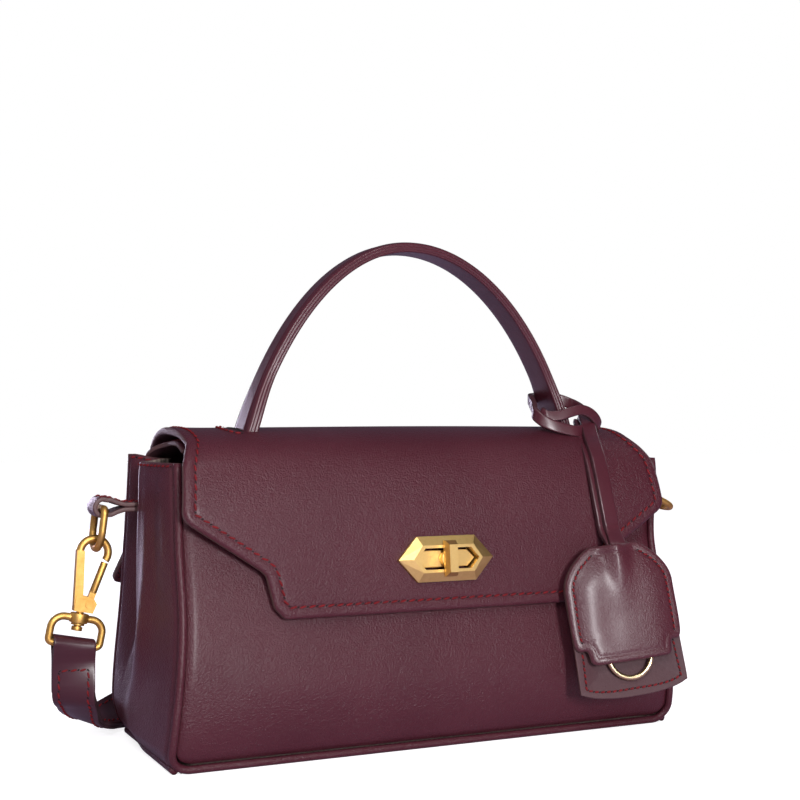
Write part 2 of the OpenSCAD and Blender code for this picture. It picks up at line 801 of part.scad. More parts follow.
module hook_frame() {
    difference() {
        union() {
            through(-hook_t / 2, hook_t / 2) polygon([[-foot_back, hook_low],
                [0.2 * foot_back, hook_low], [bow_x - bow_r + bow_wire_r, bow_z + hair],
                [bow_x - bow_r - bow_wire_r, bow_z + hair]]);
            translate([bow_x, 0, bow_z]) rotate([90, 0, 0]) rotate([0, 0, -bow_start])
                rotate_extrude(angle = bow_turn) translate([bow_r, 0]) circle(bow_wire_r);
            through(-block_t / 2, block_t / 2) polygon([[-foot_back, hook_low],
                [foot_front, hook_low], [gate_x + cheek, gate_z + cheek / 5],
                [gate_x + cheek / 3, gate_z + cheek],
                [-foot_back - cheek / 8, gate_z + cheek]]);
            translate([0, 0, -swivel_l]) cylinder(r = swivel_r,
                h = swivel_l + hook_low + slot_floor / 2);
            translate([0, 0, -swivel_l]) cylinder(r = stud_r, h = stud_h);
            translate([0, 0, -boss_h / 2 - slide_gap - collar_h]) cylinder(r = collar_r,
                h = collar_h);
        }
        gate_bore();
        translate([slot_x, -tongue_t / 2 - slide_gap, hook_low + slot_floor])
            cube([gate_l, tongue_t + 2 * slide_gap, gate_l]);
    }
}
module hook_gate() {
    difference() {
        translate([gate_x, 0, gate_z]) rotate([0, gate_lean, 0]) {
            translate([0, 0, gate_root]) cylinder(r = gate_t / 2, h = gate_l - gate_root);
            translate([-tongue_w / 2, -tongue_t / 2, 0])
                cube([tongue_w, tongue_t, gate_root + tongue_seat]);
            rotate([90, 0, 0]) cylinder(r = knuckle_r, h = tongue_t, center = true);
        }
        gate_bore();
    }
}
module hook_rivet() {
    out = block_t / 2 + rivet_gap + rivet_head_t;
    translate([gate_x, 0, gate_z]) rotate([90, 0, 0]) {
        cylinder(r = pin_r, h = 2 * out, center = true);
        for (s = [-1, 1]) translate([0, 0, s * (out - rivet_head_t / 2)])
            cylinder(r = rivet_head_r, h = rivet_head_t, center = true);
    }
}

// Swivel dee: the boss round the hook's post and the wire that carries the strap
dee_bend = 1.7;
dee_room = 0.3;
dee_h = 10.8;
dee_shoulder = 5;
dee_half = strap_w / 2 + dee_bend + dee_room;
module swivel_dee() {
    difference() {
        union() {
            rotate([180, 0, 0]) translate([0, 0, dee_h]) wire_dee(dee_half, dee_h,
                dee_bend, dee_shoulder);
            translate([0, 0, -boss_h / 2]) cylinder(r = boss_r, h = boss_h);
        }
        translate([0, 0, -boss_h]) cylinder(r = swivel_r + bore_gap, h = 2 * boss_h);
    }
}

// Where the two hooks sit: hanging at the left side, and lying behind the bag
hang_x = 8.6;
hang_z = 44.7;
left_at = [-loop_x - hang_x, chain_y, tab_z - hang_z];
left_lean = 11.4;
end_x = 22;
end_y = 96;
lie_gap = 0.2;
end_at = [end_x, end_y, boss_r + lie_gap];
module left_place() translate(left_at) rotate([0, left_lean, 0]) children();
module end_place() translate(end_at) rotate([90, 0, 90]) children();
module hook_left() { color(gold) left_place() hook_frame(); }
module hook_left_gate() { color(gold) left_place() hook_gate(); }
module hook_left_rivet() { color(gold) left_place() hook_rivet(); }
module dee_left() { color(gold) left_place() swivel_dee(); }
module hook_end() { color(gold) end_place() hook_frame(); }
module hook_end_gate() { color(gold) end_place() hook_gate(); }
module hook_end_rivet() { color(gold) end_place() hook_rivet(); }
module dee_end() { color(gold) end_place() swivel_dee(); }

// Strap ends: one leather layer folded round the dee's bar and back
fold_t = 1.5;
fold_r = wire_r + slide_gap + fold_t / 2;
fold_pinch = fold_t / 2 + hair;
fold_turns = 8;
fold_in_w = 0.1;
leg_shares = [1, 0.7, 0.42, 0.2];
pinch_share = 0.45;
plumb_share = 0.6;
function fold_path(l) = let (
    leg = [for (q = leg_shares) [mix(fold_pinch, fold_r, 1 - ease(min(1, q / pinch_share))),
        q * l]])
    concat([for (q = leg) [q, 1]], [for (i = [0:fold_turns]) let (a = 180 * i / fold_turns)
        [[fold_r * cos(a), -fold_r * sin(a)], 0]], [for (q = turned(leg)) [[-q[0], q[1]], 1]]);
// The fold hangs from the bar: tilted with it on top, plumb lower down
module strap_fold(bar, l, tilt) {
    path = fold_path(l);
    points = [for (q = path) bar + [0, q[0][0], -q[0][1]]];
    widths = [for (q = path) let (
        a = tilt * (1 - ease(min(1, max(0, q[0][1]) / (plumb_share * l)))))
        [cos(a), 0, -sin(a)]];
    band(points, widths, strap_w - 2 * fold_in_w, fold_t);
}
fold_l = 18.5;
left_bar = left_at + [-dee_h * sin(left_lean), 0, -dee_h * cos(left_lean)];
module strap_loop_left() { color(wine) strap_fold(left_bar, fold_l, left_lean); }
module strap_loop_end() {
    color(wine) translate(end_at) rotate([90, 0, 90]) translate([0, 0, -dee_h])
        strap_fold([0, 0, 0], fold_l, 0);
}

// Strap: route of its middle line from the fold's end, as shares of its width across and
// back and of its height, with the direction of its width
strap_lift = 0.1;
hang_gap = 0.5;
hang_from = left_bar - [0, 0, fold_l + hang_gap];
hang_shares = [
    [[0, 0, 1.424], [1, 0, 0]],
    [[0.018, 0.012, 1.13], [1, 0.02, -0.04]],
    [[0.053, 0.094, 0.865], [1, 0.05, -0.12]],
    [[0.135, 0.271, 0.638], [1, 0.08, -0.24]],
    [[0.276, 0.529, 0.49], [1, 0.1, -0.34]],
    [[0.465, 0.847, 0.414], [1, 0, -0.46]],
    [[0.7, 1.2, 0.386], [1, -0.22, -0.58]],
    [[0.982, 1.553, 0.402], [0.86, -0.46, -0.78]],
    [[1.324, 1.882, 0.44], [0.6, -0.6, -1]],
    [[1.724, 2.141, 0.48], [0.3, -0.44, -1]],
    [[2.171, 2.306, 0.5], [0.1, -0.2, -1]],
    [[2.665, 2.376, 0.506], [0, -0.06, -1]],
    [[3.076, 2.388, 0.506], [0, 0, -1]]];
hang_points = [for (q = hang_shares) [hang_from[0] + strap_w * q[0][0],
    hang_from[1] + strap_w * q[0][1],
    hang_from[2] * q[0][2] / hang_shares[0][0][2]]];
module strap_hang() {
    color(wine) band(hang_points, [for (q = hang_shares) q[1]], strap_w, strap_t);
}

// Folded runs on edge behind the bag, then a twist that lays the end flat
hang_end = hang_points[len(hang_points) - 1];
fold_gap = 0.2;
fold_y = hang_end[1];
fold_x0 = hang_end[0] + fold_gap;
fold_x1 = fold_x0 + strap_run;
run_step = 8.4;
runs = 4;
turn_steps = 6;
twist_steps = 9;
twist_lead = 12;
edge_z = strap_w / 2 + strap_lift;
flat_x = end_at[0] - dee_h - fold_l - slide_gap;
function run_turn(k) = let (right = k % 2 == 0, r = run_step / 2,
    c = [right ? fold_x1 : fold_x0, fold_y + (k + 0.5) * run_step])
    [for (i = [0:turn_steps]) let (a = -90 + 180 * i / turn_steps)
        [c[0] + (right ? 1 : -1) * r * cos(a), c[1] + r * sin(a), edge_z]];
function twist_point(s) = let (a = 90 * ease(s))
    [mix(fold_x0 + twist_lead, flat_x, s), mix(fold_y + runs * run_step, end_y, ease(s)),
    strap_lift + strap_w / 2 * cos(a) + end_at[2] * sin(a)];
fold_points = concat([[fold_x0, fold_y, edge_z]], [for (k = [0:runs - 1]) each run_turn(k)],
    [for (i = [0:twist_steps]) twist_point(i / twist_steps)]);
fold_widths = concat([for (i = [0:len(fold_points) - twist_steps - 2]) [0, 0, -1]],
    [for (i = [0:twist_steps]) let (a = 90 * ease(i / twist_steps)) [0, sin(a), -cos(a)]]);
module strap_folds() {
    color(wine) band(fold_points, fold_widths, strap_w, strap_t);
}

// Key bell: two leaves turned a little to the left and leaning right, the front one shorter
bell_yaw = 14;
bell_pitch = 10;
bell_roll = 6.5;
bell_out = 7.2;
bell_x = 74.5;
bell_z = 81;
leaf_room = 0.5;
leaf_gap = 2 * lace_t + 4 * hair + leaf_room;
bell_half = bell_w / 2;
bell_top = [bell_x, tip_y - bell_out, bell_z];
function about_z(v, a) = [v[0] * cos(a) - v[1] * sin(a), v[0] * sin(a) + v[1] * cos(a), v[2]];
function about_x(v, a) = [v[0], v[1] * cos(a) - v[2] * sin(a), v[1] * sin(a) + v[2] * cos(a)];
function about_y(v, a) = [v[0] * cos(a) + v[2] * sin(a), v[1], v[2] * cos(a) - v[0] * sin(a)];
function bell_turn(v) = about_z(about_x(about_y(v, -bell_roll), -bell_pitch), -bell_yaw);
module bell_place() translate(bell_top) rotate([0, 0, -bell_yaw]) rotate([-bell_pitch, 0, 0])
    rotate([0, -bell_roll, 0]) children();
dome_shares = [[0.44, -0.004], [0.55, -0.028], [0.66, -0.06], [0.79, -0.105], [0.88, -0.15],
    [0.955, -0.2], [0.995, -0.255], [1, -0.32]];
front_low_shares = [[0.985, -0.63], [0.8, -0.668], [0.762, -0.7], [0.745, -0.74],
    [0.68, -0.765], [0.5, -0.768], [0.2, -0.762]];
back_low_shares = [[0.985, -0.63], [0.995, -0.92], [0.965, -0.945], [0.75, -0.975],
    [0.4, -0.995], [0.1, -1]];
module leaf_outline(low_shares) polygon(both([for (q = concat(dome_shares, low_shares))
    [q[0] * bell_half, q[1] * bell_h]]));
key_pin_share = 0.627;
key_pin_r = 1.3;
key_pin_end = 0.1;
key_wire_r = 1.1;
key_ring_r = 9.4;
key_gap = 0.25;
key_pin_z = -key_pin_share * bell_h;
module bell_back() {
    color(wine) bell_place() {
        through(leaf_gap / 2, leaf_gap / 2 + bell_t) leaf_outline(back_low_shares);
        translate([0, leaf_gap / 2 + hair, key_pin_z]) rotate([90, 0, 0])
            cylinder(r = key_pin_r, h = leaf_gap - key_pin_end);
    }
}
module bell_front() {
    color(wine) bell_place() through(-leaf_gap / 2 - bell_t, -leaf_gap / 2)
        leaf_outline(front_low_shares);
}
module key_ring() {
    color(pale_gold) bell_place() translate([0, 0, key_pin_z + key_pin_r + key_wire_r
        + key_gap - key_ring_r]) rotate([90, 0, 0]) rotate_extrude() translate([key_ring_r, 0])
        circle(key_wire_r);
}

// Lace of the bell: a loop round the handle's right foot, and two strands over the flap
lace_gap = 0.5;
lace_lift = lace_gap + lace_t + hair;
lace_top_x = 79;
lace_low_x = 78.3;
lace_from_share = 0.21;
lace_to_share = 0.6;
lace_rows = 8;
lace_spread = 1.8;
lace_in = [6, -1, -9];
lace_shift_shares = [0.55, 0.12, 0];
function lace_on(i, side) = let (s = i / lace_rows,
    on = curve(drop, -lace_lift - side * (lace_t / 2 + hair), lace_rows, lace_from_share,
        lace_to_share)[i])
    [mix(lace_top_x, lace_low_x, s) + side * lace_spread * (1 - s / 2), on[0], on[1]];
function lace_end(i, side) = bell_top + bell_turn([lace_shift_shares[i] * lace_w
    + side * lace_spread / 2, -side * (lace_t / 2 + hair), lace_in[i]]);
function lace_path(side) = concat([for (i = [0:lace_rows]) lace_on(i, side)],
    [for (i = [0:2]) lace_end(i, side)]);
module lace_tail() {
    color(wine_dark) for (side = [-1, 1]) band(lace_path(side),
        [for (i = [0:lace_rows + 3]) i > lace_rows ? bell_turn([1, 0, 0]) : [1, 0, 0]],
        lace_w, lace_t);
}
loop_lean = 2.8;
loop_up = 8;
loop_room = 9.4;
loop_gap = 0.9;
loop_dip = 3.4;
loop_n = 24;
loop_tilt = 17.5;
loop_w = 5;
loop_c = [foot_x - loop_lean, foot_y, crest_h + loop_up];
loop_half = [handle_t / 2 + loop_room, handle_w / 2 + lace_t / 2 + loop_gap];
back_from_share = 0.68;
back_to_share = 0.84;
back_rows = 4;
back_x = 86;
back_end_x = 82.6;
back_spread = 1;
module lace_loop() {
    ring = [for (i = [0:loop_n - 1]) let (a = 360 * i / loop_n, c = cos(a), s = sin(a),
        q = pow(pow(abs(c), 4) + pow(abs(s), 4), -0.25))
        loop_c + [loop_half[0] * c * q, loop_half[1] * s * q, -loop_dip * c * q]];
    crest = curve(rear_high, -lace_lift, back_rows, back_from_share, back_to_share);
    tail = [for (i = [0:back_rows]) [mix(back_x, back_end_x, i / back_rows), crest[i][0],
        crest[i][1]]];
    up = about_y([0, 0, loop_w / 2], loop_tilt);
    color(wine_dark) {
        sweep([for (p = ring) let (w = unit([p[0] - loop_c[0], p[1] - loop_c[1], 0]),
            b = w * lace_t / 2) [p - up - b, p + up - b, p + up + b, p - up + b]],
            loop = true);
        band(tail, [for (q = tail) [1, 0, 0]], lace_w + 2 * back_spread, 2 * lace_t);
    }
}

base_panel();
base_board();
front_panel();
back_panel();
gusset_left();
gusset_right();
piping_front();
piping_back();
lining();
handle_bridge();
bridge_patches();
flap_rear();
handle();
handle_liner();
zip_tapes();
zip_teeth();
back_pocket();
zip_slider();
zip_ring();
zip_puller();
tab_left();
tab_right();
ring_left();
ring_right();
hook_left();
hook_left_gate();
hook_left_rivet();
dee_left();
strap_loop_left();
strap_hang();
strap_folds();
strap_loop_end();
dee_end();
hook_end();
hook_end_gate();
hook_end_rivet();
flap_front();
flap_lining();
lock_frame();
lock_washer();
lock_base();
lock_backplate();
lock_bar();
lace_loop();
lace_tail();
bell_front();
bell_back();
key_ring();
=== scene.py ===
import bmesh
import bpy
import math
import numpy as np
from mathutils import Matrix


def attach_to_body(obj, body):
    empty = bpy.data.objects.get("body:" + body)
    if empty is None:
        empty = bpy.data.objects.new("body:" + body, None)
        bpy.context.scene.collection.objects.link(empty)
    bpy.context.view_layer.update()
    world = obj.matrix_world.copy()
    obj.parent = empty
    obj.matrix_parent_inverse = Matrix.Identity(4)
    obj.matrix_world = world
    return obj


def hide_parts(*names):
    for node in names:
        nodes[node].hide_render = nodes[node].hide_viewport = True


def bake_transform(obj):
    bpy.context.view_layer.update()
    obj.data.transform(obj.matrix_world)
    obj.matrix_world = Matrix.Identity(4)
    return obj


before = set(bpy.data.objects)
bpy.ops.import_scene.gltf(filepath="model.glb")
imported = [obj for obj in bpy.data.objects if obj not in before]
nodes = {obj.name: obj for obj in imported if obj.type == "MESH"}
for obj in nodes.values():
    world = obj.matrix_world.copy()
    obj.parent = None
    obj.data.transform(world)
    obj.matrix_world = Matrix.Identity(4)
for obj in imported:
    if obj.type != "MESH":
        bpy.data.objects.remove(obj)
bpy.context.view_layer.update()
print("frame loaded")

mm = 0.001
ends = ((-1, "Left"), (1, "Right"))


def mix(a, b, t):
    return a + (b - a) * t


def ease(t):  # 3t^2 - 2t^3 between 0 and 1
    t = np.clip(t, 0, 1)
    return t * t * (3 - 2 * t)


def hump(x, middle, reach):  # exp(-((x - middle) / reach)^2)
    return np.exp(-((x - middle) / reach) ** 2)


def bezier(points, t):  # cubic Bezier: weights (1-t)^3, 3t(1-t)^2, 3t^2(1-t), t^3
    t = np.asarray(t, float)[..., None]
    p = np.asarray(points, float)
    return (1 - t) ** 3 * p[0] + 3 * t * (1 - t) ** 2 * p[1] + 3 * t * t * (1 - t) * p[2] + t ** 3 * p[3]


def unit(v):
    return v / np.maximum(np.linalg.norm(v, axis=-1, keepdims=True), 1e-9)


def nearest(values, target):
    return int(np.argmin(np.abs(values - target)))


def arcLength(path):
    return np.concatenate([[0], np.cumsum(np.linalg.norm(np.diff(path, axis=0), axis=1))])


def resample(path, spacing, closed=False):  # even steps along a polyline
    if closed:
        path = np.vstack([path, path[:1]])
    s = arcLength(path)
    n = max(2, int(round(s[-1] / spacing)) + 1)
    at = np.linspace(0, s[-1], n)
    out = np.stack([np.interp(at, s, path[:, k]) for k in range(path.shape[1])], 1)
    return out[:-1] if closed else out


def fillet(corners, radii, inset=0.0, steps=8):
    # Outline of a polygon with rounded corners, moved inwards by inset: each side slides
    # along its normal, neighbours meet again, and an arc tangent to both replaces the corner.
    c = np.asarray(corners, float)
    n = len(c)
    area = 0.5 * np.sum(c[:, 0] * np.roll(c[:, 1], -1) - np.roll(c[:, 0], -1) * c[:, 1])
    turnSign = 1 if area > 0 else -1
    out = []
    for i in range(n):
        a, b, d = c[i - 1], c[i], c[(i + 1) % n]
        e1, e2 = unit(b - a), unit(d - b)
        n1 = np.array([-e1[1], e1[0]]) * turnSign
        n2 = np.array([-e2[1], e2[0]]) * turnSign
        cosTurn = np.clip(e1 @ e2, -1, 1)
        turn = math.acos(cosTurn)
        corner = b + (n1 + n2) * inset / max(1 + cosTurn, 0.2)
        convex = (e1[0] * e2[1] - e1[1] * e2[0]) * turnSign > 0
        r = max(radii[i] - inset, 0.35) if convex else radii[i] + inset
        if turn < 0.02 or radii[i] <= 0:
            out.append(corner)
            continue
        cut = r * math.tan(turn / 2)
        cut = min(cut, 0.49 * np.linalg.norm(b - a), 0.49 * np.linalg.norm(d - b))
        r = cut / math.tan(turn / 2)
        centre = corner - e1 * cut + (n1 if convex else -n1) * r
        start = corner - e1 * cut - centre
        sweepSign = (1 if convex else -1) * turnSign
        for k in range(steps + 1):
            ang = sweepSign * turn * k / steps
            ca, sa = math.cos(ang), math.sin(ang)
            out.append(centre + np.array([start[0] * ca - start[1] * sa, start[0] * sa + start[1] * ca]))
    return np.array(out)


def distanceTo(points, loop):
    # Distance of each point from a closed polyline: the nearest spot on every segment, least of all.
    a = loop
    ab = np.roll(loop, -1, axis=0) - a
    length2 = np.maximum((ab ** 2).sum(1), 1e-9)
    best = np.full(len(points), 1e9)
    for lo in range(0, len(points), 4000):
        p = points[lo:lo + 4000, None, :]
        t = np.clip(((p - a) * ab).sum(2) / length2, 0, 1)
        best[lo:lo + 4000] = np.sqrt((((a + t[..., None] * ab) - p) ** 2).sum(2)).min(1)
    return best


def addMesh(name, verts, faces, materials, faceMaterial=None, smooth=True, tidy=False):
    # Mesh object at the origin, its place in its vertices, from millimetres to metres.
    mesh = bpy.data.meshes.new(name)
    mesh.from_pydata((np.asarray(verts, float) * mm).tolist(), [], [list(f) for f in faces])
    for m in materials:
        mesh.materials.append(m)
    if faceMaterial is not None:
        mesh.polygons.foreach_set("material_index", np.asarray(faceMaterial, np.int32))
    mesh.polygons.foreach_set("use_smooth", np.full(len(mesh.polygons), smooth))
    mesh.update()
    if tidy:
        b = bmesh.new()
        b.from_mesh(mesh)
        bmesh.ops.remove_doubles(b, verts=b.verts, dist=1e-6)
        bmesh.ops.recalc_face_normals(b, faces=b.faces)
        b.to_mesh(mesh)
        b.free()
    obj = bpy.data.objects.new(name, mesh)
    bpy.context.scene.collection.objects.link(obj)
    return obj


def attach(piece, body, slot, *cadNodes):  # the body it moves with, its slot (not used), the CAD nodes it stands for
    if cadNodes:
        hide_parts(*cadNodes)
    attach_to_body(piece, body)


def gridFaces(rows, cols, closeRows=False, closeCols=False, start=0):
    r = np.arange(rows if closeRows else rows - 1)
    c = np.arange(cols if closeCols else cols - 1)
    r, c = [g.ravel() for g in np.meshgrid(r, c, indexing="ij")]
    r2, c2 = (r + 1) % rows, (c + 1) % cols
    return np.stack([r * cols + c, r * cols + c2, r2 * cols + c2, r2 * cols + c], 1) + start


def shell(name, front, back, materials, rimSteps=4, bulge=0.25, hole=None):
    # Closed sheet of leather between two matching grids; the rim between them is rounded out
    # by bulge times the sine of the depth share, and hole lists the grid cells left open.
    rows, cols = front.shape[:2]
    faces = gridFaces(rows, cols)
    if hole is not None:
        r0, r1, c0, c1 = hole
        cellRow, cellCol = faces[:, 0] // cols, faces[:, 0] % cols
        keep = ~((cellRow >= r0) & (cellRow < r1) & (cellCol >= c0) & (cellCol < c1))
        faces = faces[keep]
    total = rows * cols
    verts = [front.reshape(-1, 3), back.reshape(-1, 3)]
    allFaces = [faces, faces[:, ::-1] + total]
    slots = [np.zeros(len(faces), int), np.full(len(faces), 2)]

    def rim(r0, r1, c0, c1, inwards):
        ring = ([(r0, c) for c in range(c0, c1)] + [(r, c1) for r in range(r0, r1)]
                + [(r1, c) for c in range(c1, c0, -1)] + [(r, c0) for r in range(r1, r0, -1)])
        ring = np.array(ring)
        step = 1 if inwards else -1
        nb = ring.copy()
        nb[:, 0] = np.where(ring[:, 0] == r0, r0 + step, np.where(ring[:, 0] == r1, r1 - step, ring[:, 0]))
        nb[:, 1] = np.where(ring[:, 1] == c0, c0 + step, np.where(ring[:, 1] == c1, c1 - step, ring[:, 1]))
        f, b = front[ring[:, 0], ring[:, 1]], back[ring[:, 0], ring[:, 1]]
        out = unit(f - front[nb[:, 0], nb[:, 1]])
        index = ring[:, 0] * cols + ring[:, 1]
        base = sum(len(v) for v in verts)
        rings = [index]
        for k in range(1, rimSteps):
            t = k / rimSteps
            verts.append(mix(f, b, t) + out * bulge * math.sin(math.pi * t))
            rings.append(base + (k - 1) * len(ring) + np.arange(len(ring)))
        rings.append(index + total)
        for k in range(rimSteps):
            lo, hi = rings[k], rings[k + 1]
            quad = np.stack([lo, hi, np.roll(hi, -1), np.roll(lo, -1)], 1)
            allFaces.append(quad if inwards else quad[:, ::-1])
            slots.append(np.full(len(quad), 1))

    rim(0, rows - 1, 0, cols - 1, True)
    if hole is not None:
        rim(hole[0], hole[1], hole[2], hole[3], False)
    return addMesh(name, np.vstack(verts), np.vstack(allFaces), materials, np.concatenate(slots), tidy=True)


def sweep(path, sides, profile, ups=None):
    # Grid of a profile carried along a path: place = path + a*side + b*up, up = side x way.
    path = np.asarray(path, float)
    way = unit(np.gradient(path, axis=0))
    sides = unit(np.broadcast_to(np.asarray(sides, float), path.shape))
    if ups is None:
        ups = unit(np.cross(sides, way))
    profile = np.asarray(profile, float)
    if profile.ndim == 2:
        profile = np.broadcast_to(profile, (len(path),) + profile.shape)
    return path[:, None] + profile[..., :1] * sides[:, None] + profile[..., 1:] * ups[:, None]


def solidSweep(name, grid, materials, faceMaterial=None, closed=False):
    rows, cols = grid.shape[:2]
    faces = gridFaces(rows, cols, closeRows=closed, closeCols=True).tolist()
    slots = [] if faceMaterial is None else np.tile(faceMaterial, rows if closed else rows - 1).tolist()
    if not closed:
        faces += [list(range(cols))[::-1], list(range((rows - 1) * cols, rows * cols))]
        slots += [1 if len(materials) > 1 else 0] * 2 if faceMaterial is not None else []
    return addMesh(name, grid.reshape(-1, 3), faces, materials, slots if faceMaterial is not None else None,
                   tidy=True)


def tubeProfile(r, n=14):
    a = np.linspace(0, 2 * np.pi, n, endpoint=False)
    return np.stack([r * np.cos(a), r * np.sin(a)], 1)


sewing = dict(high=0.48, slant=0.25, lift=0.12, hole=(0.55, 0.3, 0.12, 0.7, 0.02))


def stitchRow(path, normals, pitch=3.0, length=0.74, width=0.9):
    # Saddle stitches: an ellipsoid for each thread, slanted a little across the line, and a flat
    # dark one for each needle hole, painted shade standing in for the hole's depth. Returns (threads, holes)
    # as lists of vertex blocks.
    path = np.asarray(path, float)
    s = arcLength(path)
    count = max(1, int(s[-1] / pitch))
    start = (s[-1] - count * pitch) / 2
    at = start + pitch * (np.arange(count) + 0.5)
    holeAt = start + pitch * np.arange(count + 1)

    def frameAt(q):
        p = np.stack([np.interp(q, s, path[:, k]) for k in range(3)], 1)
        n = unit(np.stack([np.interp(q, s, normals[:, k]) for k in range(3)], 1))
        d = 0.6
        way = unit(np.stack([np.interp(q + d, s, path[:, k])
                             - np.interp(q - d, s, path[:, k]) for k in range(3)], 1))
        side = unit(np.cross(n, way))
        return p, n, way, side

    def ellipsoids(q, a, b, h, slant, lift, rings=5, around=7):
        p, n, way, side = frameAt(q)
        way2 = way * math.cos(slant) + side * math.sin(slant)
        side2 = side * math.cos(slant) - way * math.sin(slant)
        v = np.linspace(0, np.pi, rings + 2)
        u = np.linspace(0, 2 * np.pi, around, endpoint=False)
        vv, uu = np.meshgrid(v, u, indexing="ij")
        x, y, z = a * np.cos(vv), b * np.sin(vv) * np.cos(uu), h * np.sin(vv) * np.sin(uu)
        return (p[:, None, None] + n[:, None, None] * (z[..., None] + lift)
                + way2[:, None, None] * x[..., None] + side2[:, None, None] * y[..., None])

    return (ellipsoids(at, pitch * length / 2, width / 2, sewing["high"], sewing["slant"], sewing["lift"]),
            ellipsoids(holeAt, *sewing["hole"]))


def stitchObject(name, rowsOfStitches):
    verts, faces, slots, base = [], [], [], 0
    for blocks in rowsOfStitches:
        for kind, block in enumerate(blocks):
            n, rows, cols = block.shape[:3]
            cell = gridFaces(rows, cols, closeCols=True)
            quads = (cell[None] + (np.arange(n) * rows * cols)[:, None, None]).reshape(-1, 4) + base
            verts.append(block.reshape(-1, 3))
            faces.append(quads)
            slots.append(np.full(len(quads), kind))
            base += n * rows * cols
    return addMesh(name, np.vstack(verts), np.vstack(faces), [thread, paintedHoleShade], np.concatenate(slots),
                   tidy=True)


def groupTree(name, inputs, outputs=("Color", "Roughness", "Height")):
    # a tuple makes a colour input and a number a plain one; the first input is the place
    tree = bpy.data.node_groups.new(name, "ShaderNodeTree")
    tree.interface.new_socket("Vector", in_out="INPUT", socket_type="NodeSocketVector")
    for label, value in inputs.items():
        kind = "NodeSocketColor" if isinstance(value, tuple) else "NodeSocketFloat"
        tree.interface.new_socket(label, in_out="INPUT", socket_type=kind).default_value = value
    for label in outputs:
        kind = "NodeSocketColor" if label == "Color" else "NodeSocketFloat"
        tree.interface.new_socket(label, in_out="OUTPUT", socket_type=kind)
    return tree, tree.nodes.new("NodeGroupInput"), tree.nodes.new("NodeGroupOutput")


def addNode(tree, kind, inputs=(), **settings):
    node = tree.nodes.new(kind)
    for key, value in settings.items():
        setattr(node, key, value)
    for key, value in dict(inputs).items():
        socket = node.inputs[key]
        if isinstance(value, bpy.types.NodeSocket):
            tree.links.new(value, socket)
        else:
            socket.default_value = value
    return node


def math2(tree, op, a, b=0.5):
    return addNode(tree, "ShaderNodeMath", {0: a, 1: b}, operation=op).outputs[0]


def noise(tree, vector, scale, detail, **more):
    return addNode(tree, "ShaderNodeTexNoise", {"Vector": vector, "Scale": scale, "Detail": detail, **more})


def blendColor(tree, fac, a, b, mode="MIX"):
    node = tree.nodes.new("ShaderNodeMix")
    node.data_type = "RGBA"
    node.blend_type = mode
    for key, value in ((0, fac), (6, a), (7, b)):
        if isinstance(value, bpy.types.NodeSocket):
            tree.links.new(value, node.inputs[key])
        else:
            node.inputs[key].default_value = value
    return node.outputs[2]


def ramp(tree, fac, low, high):
    node = addNode(tree, "ShaderNodeMapRange", {"Value": fac, "From Min": low, "From Max": high})
    return node.outputs[0]


def leatherGroup():
    # Skin: cells of fine grain, soft creases and slow cloudiness. Height is grain + creases;
    # roughness rises in the pores and falls on the cloud's polished places.
    tree, gin, gout = groupTree("leatherSkin", {
        "Base": (0.05, 0.012, 0.02, 1), "Lift": (0.09, 0.03, 0.045, 1), "Grain Scale": 1500.0, "Grain": 0.5,
        "Crease": 0.5, "Roughness": 0.38})
    v = gin.outputs["Vector"]
    bend = noise(tree, v, 300.0, 2.0)
    bent = addNode(tree, "ShaderNodeMixRGB", {0: 0.0025, 1: v, 2: bend.outputs["Color"]}, blend_type="ADD")
    cells = addNode(tree, "ShaderNodeTexVoronoi",
                    {"Vector": bent.outputs[0], "Scale": gin.outputs["Grain Scale"]},
                    feature="SMOOTH_F1")
    fine = noise(tree, v, 2600.0, 2.0, Roughness=0.6)
    crease = noise(tree, v, 130.0, 3.0, Distortion=1.2)
    cloud = noise(tree, v, 22.0, 3.0)
    grain = math2(tree, "MULTIPLY", math2(tree, "ADD",
                                          math2(tree, "MULTIPLY", cells.outputs["Distance"], -0.7),
                                          math2(tree, "MULTIPLY", fine.outputs["Fac"], 0.5)),
                  gin.outputs["Grain"])
    soft = math2(tree, "MULTIPLY", crease.outputs["Fac"], gin.outputs["Crease"])
    tree.links.new(math2(tree, "ADD", grain, soft), gout.inputs["Height"])
    fac = math2(tree, "MULTIPLY", ramp(tree, cloud.outputs["Fac"], 0.3, 0.75), 0.55)
    fac = math2(tree, "ADD", fac, math2(tree, "MULTIPLY", ramp(tree, fine.outputs["Fac"], 0.4, 0.75), 0.25))
    tree.links.new(blendColor(tree, fac, gin.outputs["Base"], gin.outputs["Lift"]), gout.inputs["Color"])
    rough = math2(tree, "ADD", gin.outputs["Roughness"],
                  math2(tree, "MULTIPLY", cells.outputs["Distance"], 0.12))
    rough = math2(tree, "SUBTRACT", rough, math2(tree, "MULTIPLY", cloud.outputs["Fac"], 0.08))
    tree.links.new(rough, gout.inputs["Roughness"])
    return tree


def edgeGroup():
    # Edge paint: brushed along the edge, with slow patches where the leather shows through.
    tree, gin, gout = groupTree("edgePaint", {
        "Paint": (0.15, 0.085, 0.08, 1), "Worn": (0.09, 0.035, 0.04, 1), "Roughness": 0.42})
    v = gin.outputs["Vector"]
    patch = noise(tree, v, 160.0, 4.0, Roughness=0.65)
    fine = noise(tree, v, 1500.0, 2.0)
    fac = ramp(tree, patch.outputs["Fac"], 0.45, 0.75)
    tree.links.new(blendColor(tree, fac, gin.outputs["Paint"], gin.outputs["Worn"]), gout.inputs["Color"])
    tree.links.new(math2(tree, "ADD", gin.outputs["Roughness"],
                         math2(tree, "MULTIPLY", fine.outputs["Fac"], 0.15)), gout.inputs["Roughness"])
    tree.links.new(math2(tree, "ADD", fine.outputs["Fac"], patch.outputs["Fac"]), gout.inputs["Height"])
    return tree


